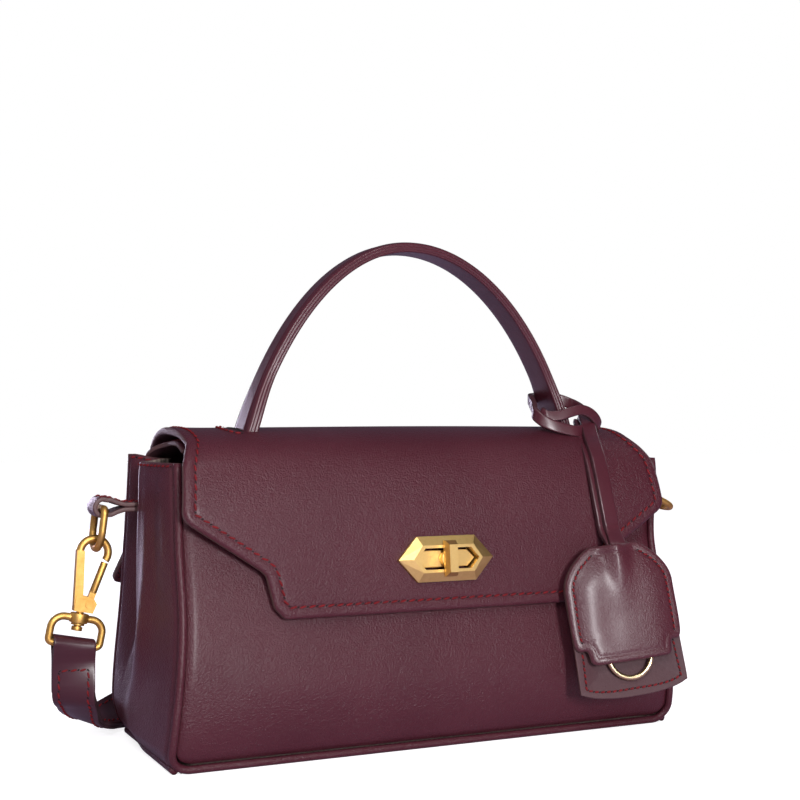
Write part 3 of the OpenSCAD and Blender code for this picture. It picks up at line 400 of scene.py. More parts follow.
def metalGroup():
    # Antique plating: mottled tone and roughness from two noises, with fine brush marks.
    tree, gin, gout = groupTree("platedMetal", {
        "Bright": (0.9, 0.62, 0.25, 1), "Deep": (0.6, 0.3, 0.06, 1), "Mottle": 0.7, "Roughness": 0.28})
    v = gin.outputs["Vector"]
    patch = noise(tree, v, 380.0, 5.0, Roughness=0.7)
    slow = noise(tree, v, 90.0, 2.0)
    stretch = addNode(tree, "ShaderNodeMapping", {"Vector": v, "Scale": (1.0, 1.0, 0.12)})
    brush = noise(tree, stretch.outputs[0], 5200.0, 2.0)
    mottle = math2(tree, "ADD", math2(tree, "MULTIPLY", patch.outputs["Fac"], 0.6),
                   math2(tree, "MULTIPLY", slow.outputs["Fac"], 0.4))
    fac = math2(tree, "MULTIPLY", ramp(tree, mottle, 0.38, 0.68), gin.outputs["Mottle"])
    tree.links.new(blendColor(tree, fac, gin.outputs["Bright"], gin.outputs["Deep"]), gout.inputs["Color"])
    rough = math2(tree, "ADD", gin.outputs["Roughness"], math2(tree, "MULTIPLY", patch.outputs["Fac"], 0.18))
    tree.links.new(rough, gout.inputs["Roughness"])
    tree.links.new(math2(tree, "ADD", brush.outputs["Fac"],
                         math2(tree, "MULTIPLY", patch.outputs["Fac"], 0.8)),
                   gout.inputs["Height"])
    return tree


def weaveGroup():
    # Plain weave: product of two sine waves across each other, darker in the gaps.
    tree, gin, gout = groupTree("plainWeave", {
        "Thread": (0.3, 0.24, 0.2, 1), "Gap": (0.12, 0.09, 0.08, 1), "Pitch Scale": 1400.0},
                                ("Color", "Height"))
    scaled = addNode(tree, "ShaderNodeVectorMath", {0: gin.outputs["Vector"]}, operation="SCALE")
    tree.links.new(gin.outputs["Pitch Scale"], scaled.inputs["Scale"])
    xyz = addNode(tree, "ShaderNodeSeparateXYZ", {0: scaled.outputs[0]})
    wave = [math2(tree, "ABSOLUTE", math2(tree, "SINE", xyz.outputs[k])) for k in (0, 1, 2)]
    high = math2(tree, "MULTIPLY", wave[0], math2(tree, "MAXIMUM", wave[1], wave[2]))
    tree.links.new(blendColor(tree, high, gin.outputs["Gap"], gin.outputs["Thread"]), gout.inputs["Color"])
    tree.links.new(high, gout.inputs["Height"])
    return tree


groups = {"leather": leatherGroup(), "edge": edgeGroup(), "metal": metalGroup(), "weave": weaveGroup()}


def finish(name, group, values, bump=(0.3, 0.0003), **shader):
    # Material: object coordinates into the named group, its colour, roughness and height into one
    # principled shader, whose fixed values are set on its own sockets.
    mat = bpy.data.materials.new(name)
    mat.use_nodes = True
    tree = mat.node_tree
    bsdf = tree.nodes["Principled BSDF"]
    where = tree.nodes.new("ShaderNodeTexCoord")
    grp = tree.nodes.new("ShaderNodeGroup")
    grp.node_tree = groups[group]
    tree.links.new(where.outputs["Object"], grp.inputs["Vector"])
    for key, value in values.items():
        grp.inputs[key].default_value = value
    tree.links.new(grp.outputs["Color"], bsdf.inputs["Base Color"])
    if "Roughness" in grp.outputs:
        tree.links.new(grp.outputs["Roughness"], bsdf.inputs["Roughness"])
    bumpNode = addNode(tree, "ShaderNodeBump", {"Height": grp.outputs["Height"], "Strength": bump[0],
                                               "Distance": bump[1]})
    tree.links.new(bumpNode.outputs[0], bsdf.inputs["Normal"])
    for key, value in shader.items():
        bsdf.inputs[key.replace("_", " ")].default_value = value
    return mat


# hole is near-black: painted shade for the needle holes and the handle's foot openings
tones = dict(wine=(0.058, 0.0092, 0.0165, 1), wineLift=(0.082, 0.0185, 0.0275, 1),
             deep=(0.042, 0.0095, 0.0165, 1),
             inner=(0.05, 0.014, 0.02, 1), innerLift=(0.08, 0.03, 0.035, 1),
             thread=(0.17, 0.006, 0.01, 1), hole=(0.006, 0.002, 0.003, 1))


def skin(name, base, lift, grain, crease, rough, bump, coat=()):  # coat: specular level, weight, roughness
    values = {"Base": tones[base], "Lift": tones[lift], "Grain": grain, "Crease": crease, "Roughness": rough}
    return finish(name, "leather", values, bump,
                  **dict(zip(("Specular_IOR_Level", "Coat_Weight", "Coat_Roughness"), coat)))


def painted(name, paint, worn, bump=(0.25, 0.0003), **more):
    return finish(name, "edge", {"Paint": paint, "Worn": worn, **more}, bump)


def plating(name, bright, deep, mottle, rough, bump):
    return finish(name, "metal", {"Bright": bright, "Deep": deep, "Mottle": mottle, "Roughness": rough}, bump,
                  Metallic=1.0)


leather = skin("wineLeather", "wine", "wineLift", 0.8, 0.45, 0.33, (0.8, 0.0006), (0.3, 0.15, 0.28))
bellLeather = skin("bellLeather", "wine", "wineLift", 0.8, 0.3, 0.36, (0.7, 0.0005), (0.4, 0.3, 0.26))
handleLeather = skin("handleLeather", "wine", "wineLift", 0.35, 0.4, 0.36, (0.3, 0.0004), (0.35, 0.4, 0.24))
strapLeather = skin("strapLeather", "deep", "wine", 0.35, 0.3, 0.38, (0.25, 0.0003), (0.35, 0.3, 0.28))
innerLeather = skin("innerLeather", "inner", "innerLift", 0.9, 0.3, 0.62, (0.4, 0.0004))
edgePaint = painted("edgePaint", (0.085, 0.038, 0.037, 1), (0.085, 0.036, 0.036, 1))
strapEdge = painted("strapEdge", (0.05, 0.022, 0.026, 1), (0.03, 0.01, 0.013, 1))
wineEdge = painted("wineEdge", (0.06, 0.02, 0.026, 1), (0.035, 0.01, 0.014, 1))
thread = finish("wineThread", "edge", {"Paint": tones["thread"], "Worn": (0.1, 0.004, 0.007, 1),
                                       "Roughness": 0.6},
                (0.4, 0.0003), Specular_IOR_Level=0.25)
# near-black painted shade: flat discs in the needle holes and thin sheets in the foot openings stand in for
# the shade inside the cut leather
paintedHoleShade = painted("paintedHoleShade", tones["hole"], tones["hole"], (0.1, 0.0001), Roughness=0.8)
gold = plating("antiqueGold", (0.80, 0.50, 0.145, 1), (0.45, 0.20, 0.03, 1), 0.55, 0.4, (0.12, 0.00012))
lockGold = plating("lockGold", (0.9, 0.64, 0.24, 1), (0.7, 0.43, 0.13, 1), 0.5, 0.36, (0.1, 0.0001))
paleGold = plating("paleGold", (0.88, 0.72, 0.42, 1), (0.72, 0.53, 0.26, 1), 0.3, 0.2, (0.06, 0.0001))
lining = finish("liningCloth", "weave", {"Thread": (0.26, 0.2, 0.17, 1), "Gap": (0.1, 0.075, 0.065, 1)},
                (0.4, 0.0003), Roughness=0.85)
tape = finish("zipTape", "weave", {"Thread": (0.07, 0.018, 0.026, 1), "Gap": (0.02, 0.005, 0.008, 1),
                                   "Pitch Scale": 2600.0}, (0.4, 0.0003), Roughness=0.8)
board = painted("boardCore", (0.13, 0.105, 0.09, 1), (0.09, 0.07, 0.06, 1), (0.2, 0.0003), Roughness=0.7)
print("materials made")

shot = dict(place=(-0.25794, -0.54980, 0.133), turn=25.2, rise=0.917, focal=1388, frame=800)
cameraData = bpy.data.cameras.new("camera")
cameraData.sensor_width = 36
cameraData.lens = 36 * shot["focal"] / shot["frame"]
cameraData.clip_start = 0.01
camera = bpy.data.objects.new("camera", cameraData)
camera.location = shot["place"]
camera.rotation_euler = (math.radians(90 + shot["rise"]), 0, -math.radians(shot["turn"]))
bpy.context.scene.collection.objects.link(camera)
bpy.context.scene.camera = camera
bpy.context.scene.view_settings.view_transform = "Standard"

lamps = dict(  # place, aim, size, watts
    key=((-0.55, -0.95, 0.8), (0, 0, 0.06), (0.35, 0.35), 5.0),
    front=((-0.1, -1.25, 0.32), (0, 0, 0.06), (0.14, 0.28), 11.0),
    behind=((-0.14, 1.25, 0.1), (-0.11, 0.03, 0.06), (0.3, 0.5), 5.5),
    high=((0.1, -0.7, 1.25), (0, -0.05, 0.08), (0.3, 0.2), 2.2),
    side=((-1.2, 0.1, 0.5), (-0.1, 0.0, 0.08), (0.3, 0.5), 0.8),
    right=((0.95, 0.3, 0.5), (0.05, 0, 0.08), (0.3, 0.5), 0.8))
for name, (place, aim, size, watts) in lamps.items():
    data = bpy.data.lights.new(name, "AREA")
    data.shape = "RECTANGLE"
    data.size, data.size_y, data.energy = size[0], size[1], watts
    data.color = (0.86, 0.78, 1.0) if name == "behind" else (1.0, 0.98, 1.0)
    lamp = bpy.data.objects.new(name, data)
    lamp.location = place
    d = np.array(aim) - np.array(place)
    lamp.rotation_euler = (math.atan2(math.hypot(d[0], d[1]), -d[2]), 0, math.atan2(d[1], d[0]) - math.pi / 2)
    bpy.context.scene.collection.objects.link(lamp)

world = bpy.data.worlds.new("studio")
bpy.context.scene.world = world
world.use_nodes = True
wt = world.node_tree
wt.nodes.clear()
rays = wt.nodes.new("ShaderNodeLightPath")
way = wt.nodes.new("ShaderNodeTexCoord")
split = addNode(wt, "ShaderNodeSeparateXYZ", {0: way.outputs["Generated"]})
# in reflections the room is a dim lilac, brighter behind the bag than behind the camera
back = ramp(wt, split.outputs["Y"], -0.55, 0.35)
tone = addNode(wt, "ShaderNodeMapRange", {"Value": back, "To Min": 0.02, "To Max": 0.13}).outputs[0]
soft = addNode(wt, "ShaderNodeBackground", {"Color": (0.96, 0.95, 1.0, 1), "Strength": 0.36})
mirrorLook = addNode(wt, "ShaderNodeBackground", {"Color": (0.8, 0.7, 1.0, 1)})
wt.links.new(tone, mirrorLook.inputs["Strength"])
plain = addNode(wt, "ShaderNodeBackground", {"Color": (1, 1, 1, 1), "Strength": 1.0})
first = addNode(wt, "ShaderNodeMixShader", {0: rays.outputs["Is Glossy Ray"], 1: soft.outputs[0],
                                            2: mirrorLook.outputs[0]})
second = addNode(wt, "ShaderNodeMixShader", {0: rays.outputs["Is Camera Ray"], 1: first.outputs[0],
                                             2: plain.outputs[0]})
out = wt.nodes.new("ShaderNodeOutputWorld")
wt.links.new(second.outputs[0], out.inputs["Surface"])

floorMat = bpy.data.materials.new("paleFloor")
floorMat.use_nodes = True
ft = floorMat.node_tree
fb = ft.nodes["Principled BSDF"]
fb.inputs["Base Color"].default_value = (0.72, 0.72, 0.75, 1)
fb.inputs["Roughness"].default_value = 0.9
fb.inputs["Specular IOR Level"].default_value = 0.1
# the glow is seen by the camera only, so it adds no light to the bag
seen = ft.nodes.new("ShaderNodeLightPath")
glow = addNode(ft, "ShaderNodeEmission", {"Color": (1, 1, 1, 1)})
# mirrored in the leather the floor is a dim lilac
ft.links.new(blendColor(ft, seen.outputs["Is Glossy Ray"], (0.74, 0.73, 0.76, 1), (0.42, 0.33, 0.5, 1)),
             fb.inputs["Base Color"])
ft.links.new(math2(ft, "MULTIPLY", seen.outputs["Is Camera Ray"], 0.77), glow.inputs["Strength"])
floorAdd = addNode(ft, "ShaderNodeAddShader", {0: fb.outputs[0], 1: glow.outputs[0]})
ft.links.new(floorAdd.outputs[0], ft.nodes["Material Output"].inputs["Surface"])
floorObj = addMesh("floor", [(-4000, -4000, 0), (4000, -4000, 0), (4000, 4000, 0), (-4000, 4000, 0)],
                   [[0, 1, 2, 3]], [floorMat], smooth=False)
print("camera and light set")

bag = dict(halfW=110.0, high=118.0, leather=2.2, corner=9.0, pipe=3.2, gap=0.2,
           low=3.4, openBack=3.0, tuckLeft=1.4, pushRight=6.5, spreadLow=4.8,
           wall=[(-41, 3.4), (-54, 34.22), (-34.11, 80.24), (-28, 118)])
wallCurve = bezier(bag["wall"], np.linspace(0, 1, 600))


def wallY(z):
    return np.interp(z, wallCurve[:, 1], wallCurve[:, 0])


def wallNormal(z):  # outwards from the front face: the curve's way turned a quarter
    e = 0.5
    dy = wallY(np.asarray(z) + e) - wallY(np.asarray(z) - e)
    n = np.stack([np.zeros_like(dy), -np.full_like(dy, 2 * e), dy], -1)
    return unit(n)


def flare(p):
    # soft leather: the back corners open outwards, the bottom spreads, and at the front's top the left
    # corner draws in and the right one pushes out, with the flap
    x, y, z = p[..., 0], p[..., 1], p[..., 2]
    wide = np.abs(x)
    out = bag["openBack"] * ease((wide - 80) / 30) * ease(y / 20) * ease((z - 2) / 16)
    out += bag["spreadLow"] * ease((wide - 80) / 28) * (1 - ease(z / 66)) * (1 - 0.35 * ease(y / 20))
    frontTop = ease((wide - 80) / 25) * ease((z - 78) / 38) * ease((12 - y) / 27)
    out += frontTop * np.where(x > 0, bag["pushRight"], -bag["tuckLeft"])
    high = ease((wide - 100) / 8) * ease((z - 105) / 13)
    rise = high * (1.7 * ease((y - 6) / 18) - 1.1 * (1 - ease((y - 2) / 14)))
    return np.stack([x + np.sign(x) * out, y, z + rise], -1)


panel = dict(insets=[0, 0.5, 1.1, 1.9, 3.0, 4.6, 7.0, 10.0], columns=97, trim=6, rows=44, coreIn=14,
             roll=1.1, rollWide=3.2, dip=0.55, dipWide=9.0,
             puff=2.4, puffZ=30, puffHigh=17, puffX=-62, puffWide=26,
             foot=0.5, footZ=16, footHigh=9)


def panelSheet(name, side, sag, slot=None):
    # Front or back panel: grid of width and height on the wall curve, its edge rolled into the seam,
    # with slow swells added to the height above the curve.
    half, r = bag["halfW"] - bag["pipe"] - bag["gap"], bag["corner"] - bag["pipe"] - bag["gap"]
    corners = [(-half, bag["low"]), (half, bag["low"]), (half, bag["high"]), (-half, bag["high"])]
    outline = fillet(corners, [r, r, 0.4, 0.4], steps=14)
    inset = np.array(panel["insets"])
    zz = np.concatenate([bag["low"] + inset, np.linspace(bag["low"] + 12, bag["high"] - 12, panel["rows"]),
                         (bag["high"] - inset)[::-1]])
    if slot:
        slotZ, slotHigh, slotHalf = slot
        zz = np.unique(np.concatenate([zz[np.abs(zz - slotZ) > slotHigh / 2 + 0.6],
                                       slotZ + np.array([-0.5, 0.5]) * slotHigh]))
    right = outline[outline[:, 0] > 0]
    right = right[np.argsort(right[:, 1])]
    hw = np.interp(zz, right[:, 1], right[:, 0])
    share = np.linspace(-1, 1, panel["columns"])
    share = share[panel["trim"]:-panel["trim"]] / share[-panel["trim"] - 1]
    wide = hw[:, None]
    X = np.hstack([inset - wide, share * (half - panel["coreIn"] - (half - wide) * 0.9),
                   (wide - inset)[:, ::-1]])
    Z = np.repeat(zz[:, None], X.shape[1], 1)
    hole = None
    if slot:
        hole = (nearest(zz, slotZ - slotHigh / 2), nearest(zz, slotZ + slotHigh / 2),
                nearest(X[10], -slotHalf), nearest(X[10], slotHalf))
    flat = np.stack([X.ravel(), Z.ravel()], 1)
    d = distanceTo(flat, outline).reshape(X.shape)
    lift = -panel["roll"] * (1 - np.clip(d / panel["rollWide"], 0, 1)) ** 2
    lift = lift - panel["dip"] * np.exp(-(d / panel["dipWide"]) ** 1.5)
    # under the flap's end the sheet puffs out, most of it left of the middle
    puff = panel["puff"] * sag * hump(Z, panel["puffZ"], panel["puffHigh"]) * np.clip(d / 24, 0, 1)
    lift += puff * (0.6 + 0.4 * hump(X, panel["puffX"], panel["puffWide"]))
    lift += sag * (np.sin(X / 47 + 0.6) * np.sin(Z / 31 + 0.4) * 0.5 - 0.25) * np.clip(d / 14, 0, 1)
    lift += sag * panel["foot"] * hump(Z, panel["footZ"], panel["footHigh"]) * np.clip(d / 10, 0, 1)
    P = np.stack([X, wallY(Z), Z], -1)
    N = wallNormal(Z)
    front = P + N * lift[..., None]
    backSide = P - N * (bag["leather"] - 0.1)
    if side > 0:
        front, backSide = front * [1, -1, 1], backSide * [1, -1, 1]
    front, backSide = flare(front), flare(backSide)
    return shell(name, front, backSide, [leather, wineEdge, lining], hole=hole)


attach(panelSheet("frontPanelLeather", -1, 0.55), "root", "body_leather", "front_panel")
attach(panelSheet("backPanelLeather", 1, 0.5, slot=(89.0, 7.0, 102.0)), "root", "body_leather", "back_panel")

# gusset: a strip from seam to seam that swells in front, folds in behind and turns under the bag
# its creases: the height, the share each lies at, the slant of that share and the z it slants about, its
# width in shares, the z of its middle and how far it reaches up and down
gusset = dict(swell=4.5, foldIn=11.0, lip=0.56, fold=0.8, hemZ=115.3, depthRows=81, heightRows=120,
              turnRows=26,
              creases=[(-2.6, 0.66, -0.0042, 30, 0.085, 38, 22), (3.0, 0.50, -0.003, 40, 0.12, 52, 26),
                       (-1.6, 0.30, 0, 0, 0.10, 84, 20)])


def gussetShape(v, z):
    # Outwards push across the depth share v at height z: a round swell up to the lip, a drop to the
    # fold and a rise to the back seam; near the floor it blends into one low swell.
    lipPart = gusset["swell"] * np.sin(np.pi / 2 * (np.clip(v, 0, gusset["lip"]) / gusset["lip"]) ** 0.8)
    drop = ease((v - gusset["lip"]) / (gusset["fold"] - gusset["lip"]))
    rise = np.sin(np.pi / 2 * np.clip((v - gusset["fold"]) / (1 - gusset["fold"]), 0, 1))
    behind = np.where(v < gusset["fold"], mix(gusset["swell"], -gusset["foldIn"], drop),
                      mix(-gusset["foldIn"], 0.0, rise))
    folded = np.where(v < gusset["lip"], lipPart, behind)
    plainSwell = 0.6 * gusset["swell"] * np.sin(np.pi * v)
    strength = ease(np.clip((z - 8) / (bag["high"] * 0.7), 0, 1))
    push = mix(plainSwell, folded, strength)
    # creases that run down and forward from the fold, and the hollow low behind
    crease = 0
    for high, share, slant, slantZ, wide, midZ, reach in gusset["creases"]:
        crease = crease + high * hump(v, share + slant * (z - slantZ), wide) * hump(z, midZ, reach)
    return push + crease


def gussetSheet(name, side):
    r, upRows = bag["corner"], gusset["heightRows"] - gusset["turnRows"]
    ang = np.linspace(np.pi / 2, 0, gusset["turnRows"])
    z = np.concatenate([r - r * np.sin(ang), np.linspace(r, bag["high"], upRows + 1)[1:]])
    x = np.concatenate([bag["halfW"] - r + r * np.cos(ang), np.full(upRows, bag["halfW"])])
    nx = np.concatenate([np.cos(ang), np.ones(upRows)])
    nz = np.concatenate([-np.sin(ang), np.zeros(upRows)])
    v = np.linspace(0, 1, gusset["depthRows"])
    vv = 0.5 - 0.5 * np.cos(np.pi * np.clip(v * 0.94 + 0.03, 0, 1))
    vv = (vv - vv[0]) / (vv[-1] - vv[0])
    V, Z = np.meshgrid(vv, z)
    half = -wallY(np.maximum(Z, bag["low"])) - bag["pipe"] - bag["gap"]
    corner = np.clip(Z / r, 0, 1)
    push = gussetShape(V, Z) * corner ** 1.5
    rim = -0.9 * ((1 - np.clip(V / 0.045, 0, 1)) ** 2 + (1 - np.clip((1 - V) / 0.045, 0, 1)) ** 2)
    hem = -0.4 * hump(Z, gusset["hemZ"], 0.7) - 0.5 * ease((Z - 117.2) / 0.8)
    push = push + rim + hem
    Y = mix(-half, half, V)
    P = np.stack([x[:, None] + nx[:, None] * push, Y, Z], -1)
    inner = np.stack([x[:, None] + nx[:, None] * (push - bag["leather"]), Y,
                      Z - nz[:, None] * bag["leather"]], -1)
    inner[..., 2] = np.maximum(inner[..., 2], bag["leather"] * (1 - corner))
    P[..., 0] *= side
    inner[..., 0] *= side
    P, inner = flare(P), flare(inner)
    return shell(name, P, inner, [leather, edgePaint, lining], bulge=0.2), P


gussetGrids = {}
for side, label in ends:
    piece, gussetGrids[side] = gussetSheet("gussetLeather" + label, side)
    attach(piece, "root", "body_leather", "gusset_" + label.lower())
for side, label in ends:
    grid = gussetGrids[side]
    row = nearest(grid[:, 40, 2], gusset["hemZ"])
    line = grid[row, 3:-3]
    facing = unit(np.cross(np.gradient(line, axis=0), grid[row + 1, 3:-3] - grid[row - 1, 3:-3]))
    facing *= np.sign(facing[:, :1] * side)
    attach(stitchObject("gussetStitches" + label, [stitchRow(line + facing * 0.02, facing, 3.4)]), "root",
           "body_leather")


seam = dict(beadOut=0.35, beadR=0.62, beadSpread=0.5, weltHalf=38.5, weltX=106.6, weltZ=1.7, weltR=1.6)


def pipingPath(side):  # straight down both sides and round the two lower corners, on the wall's line
    r = bag["corner"] - bag["pipe"] / 2
    z = np.linspace(bag["high"], bag["corner"], 46)
    ang = np.linspace(0, np.pi / 2, 16)[1:]
    xs = np.concatenate([np.full(46, bag["halfW"] - bag["pipe"] / 2),
                         bag["halfW"] - bag["corner"] + r * np.cos(ang)])
    zs = np.concatenate([z, bag["corner"] - r * np.sin(ang)])
    bottom = np.linspace(bag["halfW"] - bag["corner"], 0, 24)[1:]
    xs = np.concatenate([xs, bottom])
    zs = np.concatenate([zs, np.full(len(bottom), bag["pipe"] / 2)])
    xs = np.concatenate([xs, -xs[::-1][1:]])
    zs = np.concatenate([zs, zs[::-1][1:]])
    y = wallY(np.maximum(zs, bag["low"])) + bag["pipe"] / 2
    return flare(np.stack([xs, y * (1 if side < 0 else -1), zs], 1))


for side, label in ((-1, "front"), (1, "back")):
    path = pipingPath(side)
    piece = solidSweep("piping" + label.capitalize(),
                       sweep(path, (0, 1, 0), tubeProfile(bag["pipe"] / 2 - 0.02, 16)),
                       [leather])
    attach(piece, "root", "edge_leather", "piping_" + label)
    # the gusset's turned edge stands as a thin bead beside the cord
    bead = path + [0, -side * (bag["pipe"] / 2 + seam["beadOut"]), 0]
    bead[:, 0] += np.sign(bead[:, 0]) * seam["beadSpread"] * ease((np.abs(bead[:, 0]) - 90) / 12)
    piece = solidSweep("seamBead" + label.capitalize(),
                       sweep(bead, (0, 1, 0), tubeProfile(seam["beadR"], 10)), [leather])
    attach(piece, "root", "edge_leather")

for side, label in ends:  # welt under each gusset, along the bottom corner
    y = np.linspace(-seam["weltHalf"], seam["weltHalf"], 40)
    line = flare(np.stack([np.full(40, side * seam["weltX"]), y, np.full(40, seam["weltZ"])], 1))
    piece = solidSweep("baseWelt" + label, sweep(line, (1, 0, 0), tubeProfile(seam["weltR"], 14)), [leather])
    attach(piece, "root", "edge_leather")

base = dict(halfX=104.0, halfY=37.4, thick=2.2)
u, v = np.meshgrid(np.linspace(-1, 1, 60), np.linspace(-1, 1, 30))
lower = flare(np.stack([u * base["halfX"], v * base["halfY"], np.zeros_like(u)], -1))
piece = shell("baseLeather", lower, lower + [0, 0, base["thick"]], [leather, wineEdge, lining], bulge=0.1)
attach(piece, "root", "body_leather", "base_panel")
print("body made")

flap = dict(thick=3.3, crestHalf=103.0, wideHalf=109.0, wideZ=96.0, shoulder=(107.0, 117.0),
            rightMore=1.6, notchHalf=76.5, notchZ=74.5,
            tipHalf=71.5, stitchIn=4.4, window=(14.7, 72.6, 82.4),
            rearLow=[(35.145, 100), (37.545, 117.98), (26.99, 131), (8.01, 131)],
            rearHigh=[(8.01, 131), (-5.99, 131), (-17.0, 130.5), (-26, 126)],
            drop=[(-26, 126), (-43.98, 117.03), (-43.0, 85.01), (-46.589, 57)])
profile = np.vstack([bezier(flap["rearLow"], np.linspace(0, 1, 200)),
                     bezier(flap["rearHigh"], np.linspace(0, 1, 200))[1:],
                     bezier(flap["drop"], np.linspace(0, 1, 400))[1:]])
profileS = arcLength(profile)
profileWay = unit(np.gradient(profile, axis=0))
profileOut = np.stack([profileWay[:, 1], -profileWay[:, 0]], 1)
hingeRow, crestRows = 398, slice(100, 420)  # where the front part starts, and the rows over the crest
hingeS = profileS[hingeRow]
tipS = profileS[-1]


def flapSurface(x, s):
    # Point and outward normal of the flap's face at width x and arc length s along its profile.
    y, z = np.interp(s, profileS, profile[:, 0]), np.interp(s, profileS, profile[:, 1])
    ny, nz = np.interp(s, profileS, profileOut[:, 0]), np.interp(s, profileS, profileOut[:, 1])
    n = unit(np.stack([ny, nz], -1))
    return np.stack([x, y, z], -1), np.stack([np.zeros_like(n[..., 0]), n[..., 0], n[..., 1]], -1)


def dropS(z):  # arc length at which the front part stands at height z
    frontPart = profile[hingeRow:]
    return np.interp(-np.asarray(z, float), -frontPart[:, 1], profileS[hingeRow:])


flapHalf = [(flap["crestHalf"], hingeS), (flap["shoulder"][0], dropS(flap["shoulder"][1])),
            (flap["wideHalf"], dropS(flap["wideZ"])),
            (flap["notchHalf"], dropS(flap["notchZ"])), (flap["tipHalf"] + 2, dropS(61.5)),
            (flap["tipHalf"] - 2.2, tipS)]
flapCorners = ([(-flap["crestHalf"], 0.0), (flap["crestHalf"], 0.0)]
               + [(x + flap["rightMore"] * (s > hingeS) * (x > 100), s) for x, s in flapHalf]
               + [(-x, s) for x, s in flapHalf[::-1]])
flapRadii = [3, 3, 16, 14, 6, 5, 4, 3, 3, 4, 5, 6, 14, 16]
flapOutline = fillet(flapCorners, flapRadii, steps=10)


def flapSheet():
    inset = np.array([0, 0.35, 0.8, 1.5, 2.5, 3.5, 4.0, 4.4, 4.8, 5.4, 6.6, 8.4, 11.0, 14.5])
    right = flapOutline[flapOutline[:, 0] > 0]
    right = right[np.argsort(right[:, 1], kind="stable")]
    left = flapOutline[flapOutline[:, 0] < 0]
    left = left[np.argsort(left[:, 1], kind="stable")]
    w0, wLow, wHigh = flap["window"][0], float(dropS(flap["window"][1])), float(dropS(flap["window"][2]))
    ss = np.unique(np.round(np.concatenate([
        inset[:-3], tipS - inset[:-3], np.arange(12, tipS - 12, 1.8), [wHigh, wLow]]), 4))
    ss = ss[(np.abs(ss - wHigh) > 0.8) | (np.abs(ss - wHigh) < 0.01)]
    ss = ss[(np.abs(ss - wLow) > 0.8) | (np.abs(ss - wLow) < 0.01)]
    inner = np.concatenate([np.arange(0, w0, 2.45)[:6], [w0], np.linspace(w0 + 2.3, 40, 11)])
    rows = []
    for hr, hl in zip(np.interp(ss, right[:, 1], right[:, 0]), -np.interp(ss, left[:, 1], left[:, 0])):
        rightPos, leftPos = [np.concatenate([inner, np.linspace(40, h - inset[-1], 24)[1:-1],
                                             (h - inset)[::-1]])
                             for h in (hr, hl)]
        rows.append(np.concatenate([-leftPos[::-1][:-1], rightPos]))
    X = np.array(rows)
    S = np.repeat(ss[:, None], X.shape[1], 1)
    mid = X.shape[1] // 2
    w = nearest(inner, w0)
    hole = (nearest(ss, wHigh), nearest(ss, wLow), mid - w, mid + w)
    d = distanceTo(np.stack([X.ravel(), S.ravel()], 1), flapOutline).reshape(X.shape)
    lift = -0.75 * (1 - np.clip(d / 1.5, 0, 1)) ** 2 - 0.28 * hump(d, flap["stitchIn"], 0.75)
    lift += 0.3 * np.sin(X / 38 + 1.1) * np.sin(S / 24) * np.clip(d / 15, 0, 1)
    P, N = flapSurface(X, S)
    front = P + N * lift[..., None]
    backSide = P - N * flap["thick"]
    shrink = 0.35 * (1 - np.clip(d / 1.2, 0, 1)) ** 2
    backSide = backSide + N * shrink[..., None]
    return shell("flapLeather", front, backSide, [leather, edgePaint, innerLeather], rimSteps=6, bulge=0.35,
                 hole=hole)


flapPiece = flapSheet()


def bendWithFlap(piece):
    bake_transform(piece)


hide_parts("flap_rear", "flap_front", "flap_lining")
bendWithFlap(flapPiece)

stitchLoop = resample(fillet(flapCorners, flapRadii, inset=flap["stitchIn"], steps=10), 1.0, closed=True)
stitchLoop = np.vstack([stitchLoop, stitchLoop[:1]])
points, normals = flapSurface(stitchLoop[:, 0], stitchLoop[:, 1])
flapStitches = stitchObject("flapStitches", [stitchRow(points - normals * 0.12, normals, 3.9)])
bendWithFlap(flapStitches)
print("flap made")

grip = dict(y=-7.5, width=19.0, thick=5.4, slim=(0.78, 0.86),
            arch=[(-79, 118), (-67.5, 164), (-38.5, 210.4), (0, 210.4)],
            archRight=[(0, 210.4), (40.5, 210.4), (72.5, 166), (82, 118)])


def gripProfile():
    # Outline across the strap from the outer face round to the inner: a padded crown between two rims,
    # edges in three layers with a groove between each, and a flat inner face.
    w, t = grip["width"] / 2, grip["thick"]
    outer = []
    for x in np.linspace(-w + 0.5, w - 0.5, 31):
        fall = -0.85 * (1 - math.cos(math.pi * min(1, max(0, (abs(x) - w + 3.4) / 3.4)))) / 2
        outer.append((x, fall - (0.35 if abs(abs(x) - (w - 3.1)) < 0.45 else 0)))
    edge = [(w - 0.12, -1.25), (w, -1.6), (w - 0.02, -2.1), (w - 0.4, -2.35), (w - 0.02, -2.6), (w, -3.1),
            (w - 0.02, -3.6), (w - 0.4, -3.85), (w - 0.02, -4.1), (w - 0.1, -4.7), (w - 0.45, -5.2)]
    inner = [(x, -t + 0.18 * (abs(x) / w) ** 4) for x in np.linspace(w - 1.0, -w + 1.0, 15)]
    otherEdge = [(-x, y) for x, y in edge[::-1]]
    mats = [0] * (len(outer) + len(edge)) + [1] * len(inner) + [0] * len(otherEdge)
    return np.array(outer + edge + inner + otherEdge), mats


half = bezier(grip["arch"], np.linspace(0, 1, 90))
archLine = np.vstack([half, bezier(grip["archRight"], np.linspace(0, 1, 90))[1:]])
archLine = resample(archLine, 1.8)
path = np.stack([archLine[:, 0], np.full(len(archLine), grip["y"]), archLine[:, 1]], 1)
prof, profMats = gripProfile()
reach = arcLength(path)
slim = ease((np.minimum(reach, reach[-1] - reach) - 14) / 26)[:, None]  # full width at the feet only
prof = prof[None] * (1 - slim * (1 - np.array(grip["slim"])))[:, None]
way = unit(np.gradient(path, axis=0))
outwards = np.stack([-way[:, 2], np.zeros(len(way)), way[:, 0]], 1)
handlePiece = solidSweep("handleLeather", sweep(path, (0, 1, 0), prof, ups=outwards), [handleLeather] * 2,
                         profMats)
attach(handlePiece, "root", "handle_leather", "handle", "handle_liner")
